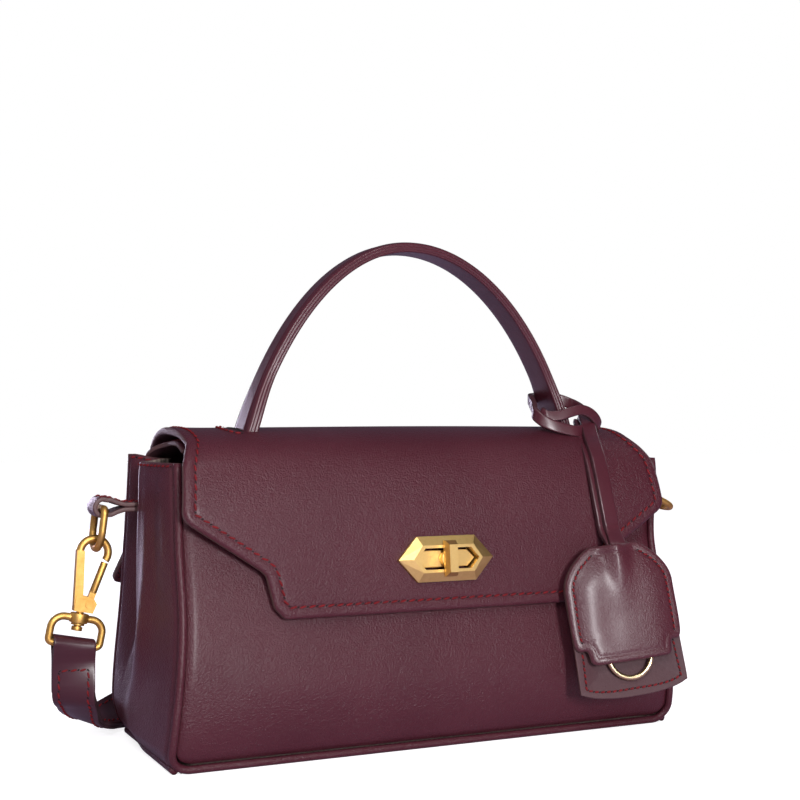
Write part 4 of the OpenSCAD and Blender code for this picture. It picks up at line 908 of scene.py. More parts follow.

# half-moon openings and stitched arcs in the flap round the two feet; the openings are thin near-black sheets
# on the flap, painted shade where the flap is cut through
moon = dict(x={-1: 77.4, 1: 80.2}, halfY=12.1, arc=6.6, slitY=9.4, slitX=3.1)


def crestSurface(x, y):  # the flap's face over the crest, at width x and depth y
    return flapSurface(x, np.interp(-y, -profile[crestRows, 0], profileS[crestRows]))


rows = []
for side in (-1, 1):
    a = np.linspace(-np.pi / 2, np.pi / 2, 40)
    xs = side * (moon["x"][side] + moon["arc"] * np.cos(a) ** 0.8)
    p, n = crestSurface(xs, grip["y"] + moon["halfY"] * np.sin(a))
    rows.append(stitchRow(p + n * 0.02, n, 3.2))
attach(stitchObject("footStitches", rows), "root", "edge_leather")
# each opening is a near-black sheet laid on the crest: painted shade, not a cut in the flap
for side, label in ends:
    r, a = np.meshgrid(np.linspace(0, 1, 6), np.linspace(-np.pi / 2, np.pi / 2, 25), indexing="ij")
    xs = side * (moon["x"][side] - 0.8 + r * moon["slitX"] * np.cos(a))
    p, n = crestSurface(xs, grip["y"] + (0.35 + 0.65 * r) * moon["slitY"] * np.sin(a))
    piece = shell("footOpeningShade" + label, p + n * 0.06, p - n * 1.0, [paintedHoleShade] * 3, rimSteps=2, bulge=0)
    attach(piece, "root", "edge_leather")
print("handle made")


def turnX(a):
    c, s = math.cos(math.radians(a)), math.sin(math.radians(a))
    return np.array([[1, 0, 0], [0, c, -s], [0, s, c]])


def turnY(a):
    c, s = math.cos(math.radians(a)), math.sin(math.radians(a))
    return np.array([[c, 0, s], [0, 1, 0], [-s, 0, c]])


def smoothLine(points, count):
    # Catmull-Rom through the points: half of (2b + (c-a)t + (2a-5b+4c-d)t^2 + (3b-a-3c+d)t^3)
    p = np.asarray(points, float)
    n = len(p)
    t = np.linspace(0, n - 1 - 1e-9, count)
    i = np.floor(t).astype(int)
    f = (t - i)[:, None]
    a, b, c, d = p[np.maximum(i - 1, 0)], p[i], p[np.minimum(i + 1, n - 1)], p[np.minimum(i + 2, n - 1)]
    return 0.5 * (2 * b + (c - a) * f + (2 * a - 5 * b + 4 * c - d) * f ** 2
                  + (3 * b - a - 3 * c + d) * f ** 3)


def strapProfile(w, t, r=0.5, crown=0.15):
    # rounded rectangle: corners are quarter circles, the top and bottom rise by crown(1-(2x/w)^2);
    # with it, which finish each side has
    pts = []
    flat = np.linspace(w / 2 - r, -w / 2 + r, 23)[1:-1]
    for cx, cy, a0 in ((w / 2 - r, t / 2 - r, 0), (-w / 2 + r, t / 2 - r, 90),
                       (-w / 2 + r, -t / 2 + r, 180), (w / 2 - r, -t / 2 + r, 270)):
        for k in range(4):
            a = math.radians(a0 + 30 * k)
            pts.append((cx + r * math.cos(a), cy + r * math.sin(a)))
        if a0 in (0, 180):
            rise = crown * (1 - (2 * flat / w) ** 2)
            line = list(zip(flat, t / 2 + rise)) if a0 == 0 else list(zip(-flat, -t / 2 - rise))
            pts += line
    pts = np.array(pts)
    mid = (pts + np.roll(pts, -1, axis=0)) / 2
    step = np.roll(pts, -1, axis=0) - pts
    side = np.abs(step[:, 1]) > 0.6 * np.abs(step[:, 0])
    kind = np.where(side, 1, np.where(mid[:, 1] > 0, 0, 2))
    return pts, kind


def strapPiece(name, path, sides, w, t, finishes, closed=False, **shape):
    path = np.asarray(path, float)
    way = unit(np.roll(path, -1, 0) - np.roll(path, 1, 0)) if closed else unit(np.gradient(path, axis=0))
    sides = unit(np.broadcast_to(np.asarray(sides, float), path.shape))
    sides = unit(sides - way * (sides * way).sum(1, keepdims=True))
    ups = np.cross(way, sides)
    prof, kind = strapProfile(w, t, **shape)
    grid = path[:, None] + prof[None, :, :1] * sides[:, None] + prof[None, :, 1:] * ups[:, None]
    return solidSweep(name, grid, finishes, kind, closed=closed), path, sides, ups


def edgeStitches(path, sides, ups, w, t, inset=2.6, pitch=3.0, faces=(1,), lift=0.0):
    # rows at inset from both edges, on the top (1) or the bottom (-1) face
    return [stitchRow(path + sides * e * (w / 2 - inset) + ups * f * (t / 2 + lift), ups * f, pitch)
            for e in (-1, 1) for f in faces]


# side tabs: the strip leaves the gusset's fold, rounds the ring and comes back
tab = dict(y=15.0, z=98.5, rootX=107.2, loopX=127.2, loopR=3.35, w=12.0, t=1.9, rightOut=11.0)
for side, label in ends:
    a = np.radians(np.linspace(118, -118, 17))
    loop = np.stack([tab["loopX"] + tab["loopR"] * np.cos(a), tab["z"] + tab["loopR"] * np.sin(a)], 1)
    more = tab["rightOut"] if side > 0 else 0.0
    loop[:, 0] += more
    upper = np.array([[tab["rootX"], tab["z"] + 1.0], [112.0 + more, tab["z"] + 0.96],
                      [115.5 + more, tab["z"] + 0.96],
                      [118.6 + more, tab["z"] + 1.1], [121.6 + more, tab["z"] + 1.95],
                      [124.0 + more, tab["z"] + 2.95]])
    lower = upper[::-1] * [1, -1] + [0, 2 * tab["z"]]
    line = smoothLine(np.vstack([upper, loop, lower]), 110)
    path = np.stack([side * line[:, 0], np.full(110, tab["y"]), line[:, 1]], 1)
    piece, path, across, up = strapPiece("tabStrip" + label, path, (0, side, 0), tab["w"], tab["t"],
                                         [leather, edgePaint, innerLeather], r=0.45, crown=0.1)
    attach(piece, "root", "edge_leather", "tab_" + label.lower())
    outward = 1 if up[5, 2] > 0 else -1
    rows = edgeStitches(path[:42], across[:42], up[:42], tab["w"], tab["t"], 2.2, 3.0, (outward,))
    attach(stitchObject("tabStitches" + label, rows), "root", "edge_leather")

# strap: two layers, one closed band that runs round both bars and along the route between them
strap = dict(w=17.0, layer=1.5, gap=0.02, foldR=2.55, foldLong=18.5, tilt=11.4,
             leftBar=(-137.93, 15.0, 43.21), endBar=(11.2, 96.0, 3.9), run=176.0, step=8.4, turnR=4.2,
             runs=4, edgeZ=8.6)
hangLine = [((-137.93, 15.0, 24.21), (1, -0.3, 0)), ((-137.0, 16.6, 20.4), (1, -0.52, 0.03)),
            ((-135.0, 20.6, 17.2), (0.78, -0.66, 0.05)), ((-133.2, 25.6, 13.9), (0.66, -0.76, 0.03)),
            ((-130.6, 31.2, 10.6), (0.53, -0.85, -0.04)), ((-126.8, 37.2, 8.0), (0.44, -0.89, -0.12)),
            ((-121.8, 42.8, 6.6), (0.34, -0.91, -0.23)), ((-116.9, 47.7, 6.3), (0.24, -0.9, -0.36)),
            ((-111.8, 51.6, 6.8), (0.16, -0.8, -0.58)), ((-106.0, 54.4, 7.9), (0.11, -0.6, -0.8)),
            ((-98.5, 55.6, 8.4), (0.05, -0.3, -0.95)), ((-91.5, 55.7, 8.6), (0, -0.08, -1)),
            ((-85.64, 55.6, 8.6), (0, 0, -1))]
hang = np.array([q for q, _ in hangLine])
hangSides = unit(np.array([q for _, q in hangLine], float))
x0, y0 = hang[-1, 0] + 0.2, hang[-1, 1]
runPoints = []
for k in range(strap["runs"]):
    toRight = k % 2 == 0
    cx = x0 + strap["run"] if toRight else x0
    prev = x0 if toRight else x0 + strap["run"]
    for f in np.linspace(0.04, 0.96, 14):
        runPoints.append((mix(prev, cx, f), y0 + k * strap["step"], strap["edgeZ"]))
    for a in np.radians(np.linspace(-90, 90, 9)):
        endX = cx + (1 if toRight else -1) * strap["turnR"] * math.cos(a)
        runPoints.append((endX, y0 + (k + 0.5) * strap["step"] + strap["turnR"] * math.sin(a),
                          strap["edgeZ"]))
runSides = [(0, 0, -1)] * len(runPoints)
flatX = strap["endBar"][0] - strap["foldLong"] - 0.3
for s in np.linspace(0, 1, 16)[1:]:
    e = 3 * s * s - 2 * s ** 3
    a = math.radians(90 * e)
    runPoints.append((mix(x0 + 12, flatX, s), mix(y0 + strap["runs"] * strap["step"], 96.0, e),
                      0.1 + 8.5 * math.cos(a) + 3.9 * math.sin(a)))
    runSides.append((0, math.sin(a), -math.cos(a)))
routePoints = np.vstack([hang, runPoints])
routeSides = np.vstack([hangSides, runSides])
route = smoothLine(routePoints, 1500)
routeSide = unit(smoothLine(routeSides, 1500))
sLen = arcLength(route)
even = np.linspace(0, sLen[-1], 620)
route = np.stack([np.interp(even, sLen, route[:, k]) for k in range(3)], 1)
routeSide = unit(np.stack([np.interp(even, sLen, routeSide[:, k]) for k in range(3)], 1))
routeUp = unit(np.cross(unit(np.gradient(route, axis=0)), routeSide))
routeSide = unit(np.cross(routeUp, unit(np.gradient(route, axis=0))))
off = strap["layer"] / 2 + strap["gap"] / 2


def foldLine(bar, down, out):
    # leg from the strap up to the bar, round it and back: the legs part from the strap's middle by
    # a cubic ease, over the last 45 percent, and the turn is half a circle round the bar
    q = np.array([0.97, 0.85, 0.7, 0.55, 0.42, 0.32, 0.2, 0.1])
    part = off + (strap["foldR"] - off) * (1 - ease(np.minimum(1, q / 0.45)))
    a = np.radians(np.linspace(0, 180, 13))
    u = np.concatenate([part, strap["foldR"] * np.cos(a), -part[::-1]])
    v = np.concatenate([q * strap["foldLong"], -strap["foldR"] * np.sin(a), (q * strap["foldLong"])[::-1]])
    return np.asarray(bar) + u[:, None] * np.asarray(out) + v[:, None] * np.asarray(down), v


endFold, _ = foldLine(strap["endBar"], (-1, 0, 0), (0, 0, 1))
leftFold, leftDown = foldLine(strap["leftBar"], (0, 0, -1), (0, 1, 0))
lean = np.radians(strap["tilt"] * (1 - ease(np.clip(leftDown / (0.6 * strap["foldLong"]), 0, 1))))
yaw = 0.3 * ease((leftDown - 2) / (strap["foldLong"] - 2))
leftSides = np.stack([np.cos(lean), -yaw, -np.sin(lean)], 1)
front = route + routeUp * off
rear = (route - routeUp * off)[::-1]
bandPath = np.vstack([front[1:-1], endFold, rear[1:-1], leftFold])
bandSides = np.vstack([routeSide[1:-1], np.tile([0.0, 1, 0], (len(endFold), 1)), routeSide[::-1][1:-1],
                       leftSides])
piece, path, across, up = strapPiece("strapBand", bandPath, bandSides, strap["w"], strap["layer"],
                                     [strapLeather, strapEdge, strapLeather], closed=True, r=0.35, crown=0.0)
attach(piece, "root", "strap_leather", "strap_loop_left", "strap_hang", "strap_folds", "strap_loop_end")
# stitches on the band's outer faces: both rows along each layer from below the fold, one row across it
n0 = len(front) - 2
foldRows = [len(path) - len(leftFold) + k for k in range(len(leftFold)) if leftDown[k] > 9.6]
turnAt, rearFrom = len(path) - len(leftFold) // 2, n0 + len(endFold)
frontRow = np.array([k for k in foldRows if k >= turnAt] + list(range(n0)))
rearRow = np.array(list(range(rearFrom, rearFrom + n0)) + [k for k in foldRows if k < turnAt])
rows = []
for pick in (frontRow, rearRow):
    rows += edgeStitches(path[pick], across[pick], up[pick], strap["w"], strap["layer"], 2.7, 3.7, (1,),
                         lift=-0.03)
for at in (frontRow[0], rearRow[-1]):
    cross = np.linspace(-1, 1, 15)[:, None] * (strap["w"] / 2 - 2.7) * across[at] + path[at]
    rows.append(stitchRow(cross + up[at] * (strap["layer"] / 2 - 0.03), np.tile(up[at], (15, 1)), 3.6))
attach(stitchObject("strapStitches", rows), "root", "strap_leather")
print("strap made")

# key bell: two leaves that meet at the sides and swell over the lace and the key ring
bell = dict(top=(74.5, -53.789, 81.0), right=(0.968814, -0.221293, 0.111483),
            out=(-0.238247, -0.955555, 0.173648),
            down=(0.068101, -0.194793, -0.978477), half=23.8, h=63.4, t=1.8, swell=2.34, seam=0.15,
            ridge=1.9, fold=0.35)
dome = [(0.44, -0.004), (0.55, -0.028), (0.66, -0.06), (0.79, -0.105), (0.88, -0.15), (0.955, -0.2),
        (0.995, -0.255), (1, -0.32)]
lowFront = [(0.985, -0.63), (0.8, -0.668), (0.762, -0.7), (0.745, -0.74), (0.68, -0.763), (0.5, -0.7665),
            (0.2, -0.768)]
lowBack = [(0.985, -0.63), (0.995, -0.92), (0.965, -0.945), (0.75, -0.975), (0.4, -0.995), (0.1, -1)]


def leafOutline(low):
    right = np.array(dome + low) * [bell["half"], -bell["h"]]
    right = np.vstack([[0, right[0, 1]], right, [0, right[-1, 1]]])
    fine = smoothLine(right[1:-1], 160)
    fine = np.vstack([[0, right[0, 1]], fine, [0, fine[-1, 1]]])
    return fine


def bellPoint(x, v, n):
    return (np.asarray(bell["top"]) + x[..., None] * np.asarray(bell["right"])
            + v[..., None] * np.asarray(bell["down"])
            + n[..., None] * np.asarray(bell["out"]))


backOutline = leafOutline(lowBack)
swellLoop = np.vstack([backOutline[3:], (backOutline[3:] * [-1, 1])[::-1], [(-9, -16)], [(9, -16)]])


def leafLift(x, v):
    # inner face: from the seam gap at the outline to the full swell, 1 - exp(-(d/7)^2) of the distance
    d = distanceTo(np.stack([x.ravel(), v.ravel()], 1), swellLoop).reshape(x.shape)
    return bell["seam"] + bell["swell"] * (1 - np.exp(-(d / 7.0) ** 2))


def leafSheet(name, low, sign):
    # rings from a line in the middle out to the outline, over the rim and back in on the inner face
    right = resample(leafOutline(low), 0.75)
    loop = np.vstack([right, (right[1:-1] * [-1, 1])[::-1]])
    v0, v1 = right[0, 1], right[-1, 1]
    core = np.column_stack([np.zeros(len(loop)), np.clip(loop[:, 1], v0 + 19, v1 - 19)])
    reach = np.linalg.norm(loop - core, axis=1)
    inset = np.array([0, 0.25, 0.6, 1.0, 1.5, 2.1, 2.6, 3.1, 3.6, 4.2, 5.2, 6.8])
    part = 1 - inset[None] / reach[:, None]
    part = np.concatenate([np.linspace(0, 1, 9)[:-1][None] * part[:, -1:], part[:, ::-1]], 1).T
    flat = core[None] + (loop - core)[None] * part[..., None]
    X, V = flat[..., 0], flat[..., 1]
    d = distanceTo(flat.reshape(-1, 2), loop).reshape(X.shape)
    inner = leafLift(X, V)
    outer = inner + bell["t"] - 0.5 * (1 - np.clip(d / 1.2, 0, 1)) ** 2 - 0.25 * hump(d, 3.1, 0.6) * (V > 3)
    if sign > 0:
        ridge = bell["ridge"] * hump(X, 0.6, 4.2) * ease((30 - V) / 28)
        folds = bell["fold"] * (np.exp(-((X - 8.2 + 0.10 * V) / 2.8) ** 2)
                                + np.exp(-((X + 7.2 - 0.06 * V) / 2.8) ** 2)) * ease((17 - V) / 15)
        hollow = 0.5 * hump(X, -9, 7) * hump(V, 34, 12) * np.clip(d / 5, 0, 1)
        outer += ridge - folds - hollow
        inner += ridge - folds * 0.6 - hollow
    outerP, innerP = bellPoint(X, V, sign * outer), bellPoint(X, V, sign * inner)
    way = unit(np.roll(loop, -1, 0) - np.roll(loop, 1, 0))
    away = (np.stack([way[:, 1], -way[:, 0]], 1) @ np.array([bell["right"], bell["down"]]))
    rim = [mix(outerP[-1], innerP[-1], t) + away * 0.2 * math.sin(math.pi * t) for t in (0.25, 0.5, 0.75)]
    grid = np.concatenate([outerP, np.array(rim), innerP[::-1]])
    kind = np.repeat([0, 1, 2], [len(outerP) - 1, 4, len(innerP) - 1])
    faces = gridFaces(len(grid), len(loop), closeCols=True)
    return addMesh(name, grid.reshape(-1, 3), faces, [bellLeather, edgePaint, innerLeather],
                   np.repeat(kind, len(loop)),
                   tidy=True)


for name, low, sign, node in (("bellFrontLeaf", lowFront, 1, "bell_front"),
                              ("bellBackLeaf", lowBack, -1, "bell_back")):
    piece = leafSheet(name, low, sign)
    attach(piece, "bell", "bell_leather", node)


def leafRow(low, inset, lo, hi, bothSides=True):
    # the outline pulled towards the leaf's middle line by inset
    right = resample(leafOutline(low), 0.5)
    v0, v1 = right[0, 1], right[-1, 1]
    core = np.column_stack([np.zeros(len(right)), np.clip(right[:, 1], v0 + 19, v1 - 19)])
    moved = core + (right - core) * (1 - inset / np.linalg.norm(right - core, axis=1, keepdims=True))
    moved = moved[(moved[:, 1] >= lo) & (moved[:, 1] <= hi)]
    return resample(np.vstack([moved, (moved * [-1, 1])[::-1]]), 0.5) if bothSides else moved


def leafStitches(run, lift, face=1):
    return stitchRow(bellPoint(run[:, 0], run[:, 1], lift), face * np.tile(bell["out"], (len(run), 1)), 2.6)


rows = []
for sgn in (-1, 1):
    run = leafRow(lowFront, 3.1, 3.4, 39.5, False) * [sgn, 1]
    run = run[np.abs(run[:, 0]) > 8.5]
    rows.append(leafStitches(run, leafLift(run[:, 0], run[:, 1]) + bell["t"] - 0.16))
lowRun = leafRow(lowBack, 3.1, 42.0, 64)
rows.append(leafStitches(lowRun, -leafLift(lowRun[:, 0], lowRun[:, 1]) + 0.04))
backRun = leafRow(lowBack, 3.1, 3.4, 64)
rows.append(leafStitches(backRun, -leafLift(backRun[:, 0], backRun[:, 1]) - bell["t"] + 0.16, -1))
attach(stitchObject("bellStitches", rows), "bell", "bell_leather")
pinZ = 0.627 * bell["h"]
pinA = bellPoint(np.array(0.0), np.array(pinZ), np.array(3.6))
pinB = bellPoint(np.array(0.0), np.array(pinZ), np.array(-3.6))
pin = solidSweep("keyPin", sweep(np.linspace(pinA, pinB, 6), np.tile(bell["right"], (6, 1)),
                                 tubeProfile(1.3, 18)), [bellLeather])
attach(pin, "bell", "bell_leather")

# lace: two strands out of the knot, over the crest, down the flap and in between the bell's leaves
lace = dict(w=7.0, t=2.2, spread=1.8)
laceLine = [(86.2, -14.0, 134.0), (83.4, -20.0, 130.9), (80.6, -27.0, 125.4), (78.2, -33.0, 121.6),
            (76.8, -38.0, 116.3),
            (76.0, -42.4, 108.4), (76.2, -44.7, 100.5), (76.9, -46.2, 93), (77.6, -47.6, 86.5)]
core = np.array(laceLine)
outwards = unit(np.cross(unit(np.gradient(core, axis=0)), [-1.0, 0, 0]))
outwards *= np.sign(outwards[:, 2:] - outwards[:, 1:2])
strands = []
for sgn in (-1, 1):
    pts = (core + outwards * sgn * (lace["t"] / 2 + 0.02) + [[sgn * lace["spread"] / 2, 0, 0]]).tolist()
    for shareX, into in ((0.3, -1.5), (0.0, -11.0)):
        pts.append(bellPoint(np.array(shareX * lace["w"] + sgn * 0.3), np.array(-into),
                             np.array(sgn * (lace["t"] / 2 + 0.02))))
    sd = [(1, 0, 0)] * len(core) + [bell["right"]] * 2
    strands.append((smoothLine(np.array(pts), 120), unit(smoothLine(np.array(sd, float), 120)), sgn))
for k, (path, sides, sgn) in enumerate(strands):
    piece, path, across, up = strapPiece("laceStrand" + "AB"[k], path, sides, lace["w"], lace["t"],
                                         [handleLeather, wineEdge, handleLeather], r=0.5, crown=0.1)
    if k == 0:
        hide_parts("lace_tail")
    bendWithFlap(piece)

# knot round the handle's foot: the bight passes in front, round behind and over the two strands
knotRing = [(61.0, -13.0, 139.6), (63.6, -6.0, 142.6), (68.6, 2.6, 143.8), (76.0, 6.8, 144.2),
            (84.0, 6.6, 144.0), (90.0, 3.4, 141.8),
            (91.8, -2.5, 139.2), (90.4, -8.0, 136.8), (88.2, -13.0, 134.4)]
knotLow = [(61.0, -13.0, 139.6), (59.8, -16.5, 136.6), (61.6, -19.5, 133.6), (65.8, -21.6, 131.4),
           (71.1, -22.9, 129.9), (76.6, -23.6, 128.9),
           (80.6, -22.0, 129.6)]
knotHigh = [(62.4, -16.6, 137.6), (64.2, -19.4, 135.8), (69.4, -21.0, 135.9), (74.9, -21.8, 137.6),
            (80.0, -22.0, 138.5), (84.9, -21.8, 137.0),
            (89.0, -20.8, 133.7), (91.0, -18.6, 130.6), (90.6, -15.0, 130.6), (88.0, -11.6, 132.6),
            (85.6, -9.6, 133.6)]


def knotBand(name, points, w, t, tiltBy, count=110):
    path = smoothLine(np.array(points), count)
    q = np.linspace(0, 1, count)[:, None]
    lean = np.array([0, 0, 1.0]) + tiltBy[0] * (1 - q) + tiltBy[1] * q
    piece, path, across, up = strapPiece(name, path, lean, w, t, [handleLeather, wineEdge, handleLeather],
                                         r=0.5, crown=0.08)
    attach(piece, "root", "edge_leather")
    return piece


ringBand = knotBand("laceLoop", knotLow[::-1] + knotRing[1:], 5.0, 2.2,
                    (np.array([0, 0.2, 0]), np.array([0.1, 0, 0])), 170)
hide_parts("lace_loop")
knotBand("laceBight", knotHigh, 4.6, 2.0, (np.array([0, 0.3, 0]), np.array([0.5, -0.2, 0])), 120)
print("bell and lace made")

# zip: tapes, puller and the pocket behind it
zipLine = dict(z=89.0, y=34.31, lean=13.97, inset=2.3, slit=0.6, half=105.2, high=8.0)


def wallStrip(name, x, z0, z1, inset, t, finishes, rows=14, cols=90, wave=0.0):
    # strip on the inside of the back wall: the wall curve moved inwards, with slow waves
    X, Z = np.meshgrid(np.linspace(-x, x, cols), np.linspace(z0, z1, rows))
    n = wallNormal(Z)
    base = np.stack([X, wallY(Z), Z], -1)
    lift = -inset + wave * np.sin(X / 17) * np.sin((Z - z0) / 9)
    a, b = base + n * lift[..., None], base + n * (lift - t)[..., None]
    flip = np.array([1, -1, 1])
    return shell(name, a * flip, b * flip, finishes, rimSteps=2, bulge=0.0)


for label, low, high in (("Upper", zipLine["slit"], zipLine["high"]),
                         ("Lower", -zipLine["high"], -zipLine["slit"])):
    lo, hi = zipLine["z"] + low, zipLine["z"] + high
    piece = wallStrip("zipTape" + label, zipLine["half"], lo, hi, zipLine["inset"], 0.6, [tape] * 3)
    if label == "Upper":
        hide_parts("zip_tapes")
    attach(piece, "root", "zip_tape")
zipTurn = turnX(zipLine["lean"])
postAt = np.array([0, zipLine["y"], zipLine["z"]]) + zipTurn @ np.array([-102.6, 1.7, 0.0])
hangTurn = zipTurn @ turnX(8)
start = postAt + hangTurn @ (turnY(32) @ np.array([0, 0, -4.55]))
tabTurn = hangTurn @ turnY(18)
puller = dict(w=6.0, t=3.0, long=24.0)
u = np.linspace(0, 1, 60)
local = np.stack([0 * u, 0 * u, -u * (puller["long"] + 1.0) + 0.4], 1)
roundEnd = np.sqrt(np.clip(1 - np.clip((u - 0.88) / 0.125, 0, 1) ** 2, 0.0, 1))
halfW = puller["w"] / 2 * roundEnd * (0.55 + 0.45 * ease(u / 0.12))
prof, kind = strapProfile(1.0, 1.0, r=0.16, crown=0.02)
thinEnd = np.sqrt(np.clip(1 - np.clip((u - 0.94) / 0.062, 0, 1) ** 2, 0.02, 1))
thick = np.full(60, puller["t"]) * (0.5 + 0.5 * ease(u / 0.1)) * thinEnd
sec = prof[None] * np.stack([2 * halfW, thick], 1)[:, None]
grid = local[:, None] + np.stack([sec[..., 0], sec[..., 1], 0 * sec[..., 0]], -1)
grid = grid @ tabTurn.T + start
piece = solidSweep("zipPullerLeather", grid, [handleLeather, edgePaint, handleLeather], kind)
attach(piece, "zip_pull", "edge_leather", "zip_puller")
rows = []
for face in (-1, 1):
    loop = [(-1.7, -3.5), (-1.7, -20), (-1.2, -21.6), (0, -22.2), (1.2, -21.6), (1.7, -20), (1.7, -3.5)]
    line = resample(np.array(loop), 0.5)
    p = np.stack([line[:, 0], np.full(len(line), face * (puller["t"] / 2 + 0.02)), line[:, 1]],
                 1) @ tabTurn.T + start
    rows.append(stitchRow(p, np.tile(tabTurn @ np.array([0, face, 0]), (len(p), 1)), 2.0, width=0.35))
attach(stitchObject("pullerStitches", rows), "zip_pull", "edge_leather")

# bridge under the crest: it carries the handle, and its ends widen towards the back corners
bridge = dict(t=2.2, line=[(24.2, 113.0), (24.0, 116.5), (21.0, 120.2), (14.5, 123.2), (7.0, 124.9),
                           (-2.0, 125.7), (-10.0, 125.2),
                           (-17.5, 122.6)], half=102.3, flare=4.6)
line = smoothLine(np.array(bridge["line"]), 60)
way2 = unit(np.gradient(line, axis=0))
out2 = np.stack([way2[:, 1], -way2[:, 0]], 1)
if out2[30, 1] < 0:
    out2 = -out2
inset = np.array([0, 0.35, 0.8, 1.5, 2.4, 3.2, 4.2, 7.0])
halfAt = bridge["half"] + bridge["flare"] * ease((line[:, 0] - 2) / 20)
pos = np.concatenate([np.linspace(0, 0.93, 40), 1 - inset[::-1] / 105.0])
X = np.concatenate([-pos[::-1][:-1], pos])[None] * halfAt[:, None]
Y = np.repeat(line[:, :1], X.shape[1], 1)
Z = np.repeat(line[:, 1:], X.shape[1], 1)
N = np.stack([0 * X, np.repeat(out2[:, :1], X.shape[1], 1), np.repeat(out2[:, 1:], X.shape[1], 1)], -1)
along = arcLength(line)[:, None]
edge = np.minimum(halfAt[:, None] - np.abs(X), np.minimum(along, along[-1] - along))
lift = -0.5 * (1 - np.clip(edge / 1.2, 0, 1)) ** 2 - 0.2 * hump(edge, 2.6, 0.6)
P = np.stack([X, Y, Z], -1)
piece = shell("bridgeLeather", P + N * lift[..., None], P - N * bridge["t"],
              [leather, edgePaint, innerLeather], bulge=0.3)
attach(piece, "root", "edge_leather", "handle_bridge")
bridgeOut = np.stack([0 * out2[:, 0], out2[:, 0], out2[:, 1]], 1)
rows = []
for sgn in (-1, 1):
    run = np.stack([sgn * (halfAt - 2.6), line[:, 0], line[:, 1]], 1) + bridgeOut * -0.15
    rows.append(stitchRow(run, bridgeOut, 3.4))
attach(stitchObject("bridgeStitches", rows), "root", "edge_leather")

# patches under the bridge, one at each foot of the handle
patch = dict(x=78.0, y=-7.5, w=19.4, d=25.0, t=1.8, top=120.3)


def patchOutline(inset=0.0):
    w, d = patch["w"] / 2, patch["d"] / 2
    return fillet([(-w, -d), (w, -d), (w, d), (-w, d)], [2.5] * 4, inset=inset, steps=6)


for side, label in ends:
    ring = patchOutline()
    scale = np.array([0.05, 0.4, 0.7, 0.9, 0.97, 1.0])
    top = np.stack([np.column_stack([ring * s, np.full(len(ring), patch["top"]
                                                       - 0.5 * max(0, s - 0.9) / 0.1)]) for s in scale])
    low = top - [0, 0, patch["t"] - 0.3]
    grid = np.concatenate([top, low[::-1]]) + [side * patch["x"], patch["y"], 0]
    n = len(ring)
    last = (len(grid) - 1) * n
    faces = gridFaces(len(grid), n, closeCols=True).tolist()
    faces += [list(range(n))[::-1], list(range(last, last + n))]
    piece = addMesh("footPatch" + label, grid.reshape(-1, 3), faces, [innerLeather], tidy=True)
    if side < 0:
        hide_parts("bridge_patches")
    attach(piece, "root", "edge_leather")
    loop = resample(patchOutline(2.2), 0.7, closed=True)
    loop = np.vstack([loop, loop[:1]])
    under = np.column_stack([loop, np.full(len(loop), patch["top"] - patch["t"]
                                           + 0.26)]) + [side * patch["x"], patch["y"], 0]
    rows = [stitchRow(under, np.tile([0.0, 0, -1], (len(under), 1)), 3.2)]
    attach(stitchObject("patchStitches" + label, rows), "root", "edge_leather")
print("zip, bridge and patches made")

# lining: one cloth bag inside the walls, pleated at the corners, open at the top
cloth = dict(t=0.6, inset=3.0, low=4.4, high=115.6, half=94.0, square=9.0)
rowsN, round_ = 46, 240
zz = np.linspace(cloth["low"], cloth["high"], rowsN)
ang = np.linspace(0, 2 * np.pi, round_, endpoint=False)
depth = -wallY(zz) - cloth["inset"] - 0.6
c, s = np.cos(ang), np.sin(ang)
q = (np.abs(c) ** cloth["square"] + np.abs(s) ** cloth["square"]) ** (-1 / cloth["square"])
waves = 0.5 * np.sin(ang * 23) * np.sin(zz[:, None] / 13) + 0.35 * np.sin(ang * 41 + zz[:, None] / 9)


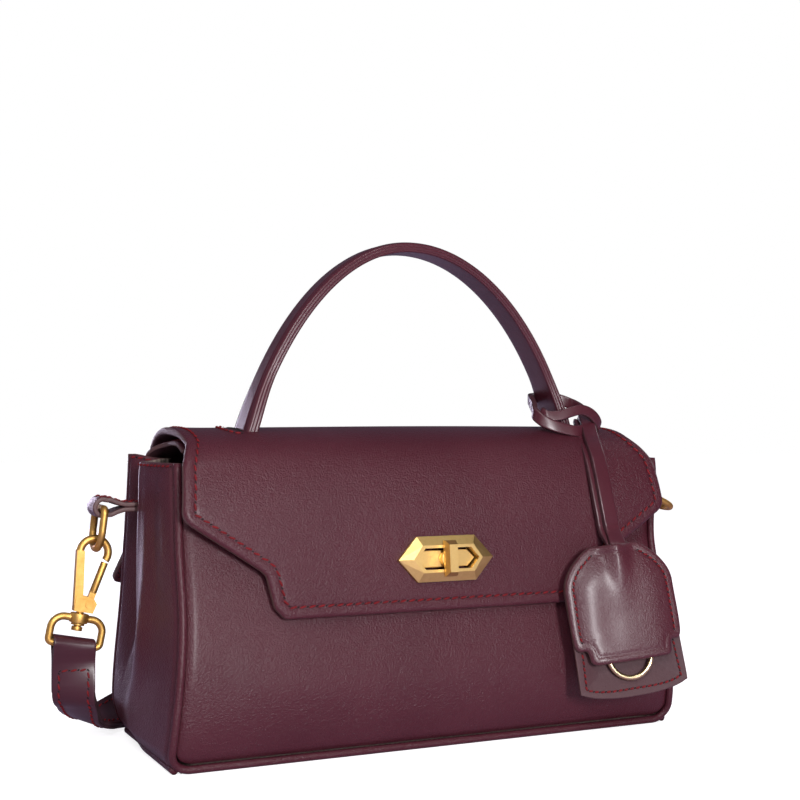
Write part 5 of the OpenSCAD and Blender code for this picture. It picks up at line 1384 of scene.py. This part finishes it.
def ringOf(shift):
    d, w = depth[:, None] - shift, cloth["half"] - shift
    low = ease((zz - cloth["low"]) / 9.0)[:, None]
    shrink = 0.93 + 0.07 * low
    return np.stack([c * q * (w * shrink + waves * 0.5), s * q * (d * shrink + waves * 0.6 - 0.8),
                     np.repeat(zz[:, None], round_, 1)], -1)


outerRing, innerRing = ringOf(0.0), ringOf(cloth["t"])
floorScales = np.array([0.75, 0.4, 0.05])
innerFloor = np.stack([innerRing[0] * [f, f, 0] + [0, 0, cloth["low"] + cloth["t"]] for f in floorScales])
outerFloor = np.stack([outerRing[0] * [f, f, 0] + [0, 0, cloth["low"]] for f in floorScales[::-1]])
grid = np.concatenate([outerFloor, outerRing, innerRing[::-1], innerFloor])
faces = gridFaces(len(grid), round_, closeCols=True).tolist()
faces += [list(range(round_))[::-1], list(range((len(grid) - 1) * round_, len(grid) * round_))]
piece = addMesh("liningBag", grid.reshape(-1, 3), faces, [lining], tidy=True)
attach(piece, "root", "lining_cloth", "lining")
piece = wallStrip("zipPocket", 100.0, 40.0, 96.0, 3.7, 0.5, [lining] * 3, rows=24, wave=0.25)
attach(piece, "root", "lining_cloth", "back_pocket")

# hardware: the CAD solids stay, with welded and bevelled edges and their finishes
plated = dict(gold=("ring_left", "ring_right", "hook_left", "hook_left_gate", "hook_left_rivet", "dee_left",
                    "dee_end", "hook_end",
                    "hook_end_gate", "hook_end_rivet"),
              lockGold=("lock_frame", "lock_washer", "lock_base", "lock_backplate", "lock_bar"),
              paleGold=("key_ring", "zip_slider", "zip_ring", "zip_teeth"))
finishes = dict(gold=gold, lockGold=lockGold, paleGold=paleGold)
for key, names in plated.items():
    for node in names:
        obj = nodes[node]
        for slotOf in obj.material_slots:
            slotOf.material = finishes[key]
        weld = obj.modifiers.new("weld", "WELD")
        weld.merge_threshold = 0.00001
        if node != "zip_teeth":
            bevel = obj.modifiers.new("bevel", "BEVEL")
            bevel.width = 0.0003 if key != "paleGold" else 0.00015
            bevel.segments = 2
            bevel.limit_method = "ANGLE"
            bevel.angle_limit = math.radians(32)
            bevel.use_clamp_overlap = True
for slotOf in nodes["base_board"].material_slots:
    slotOf.material = board
print("hardware dressed")
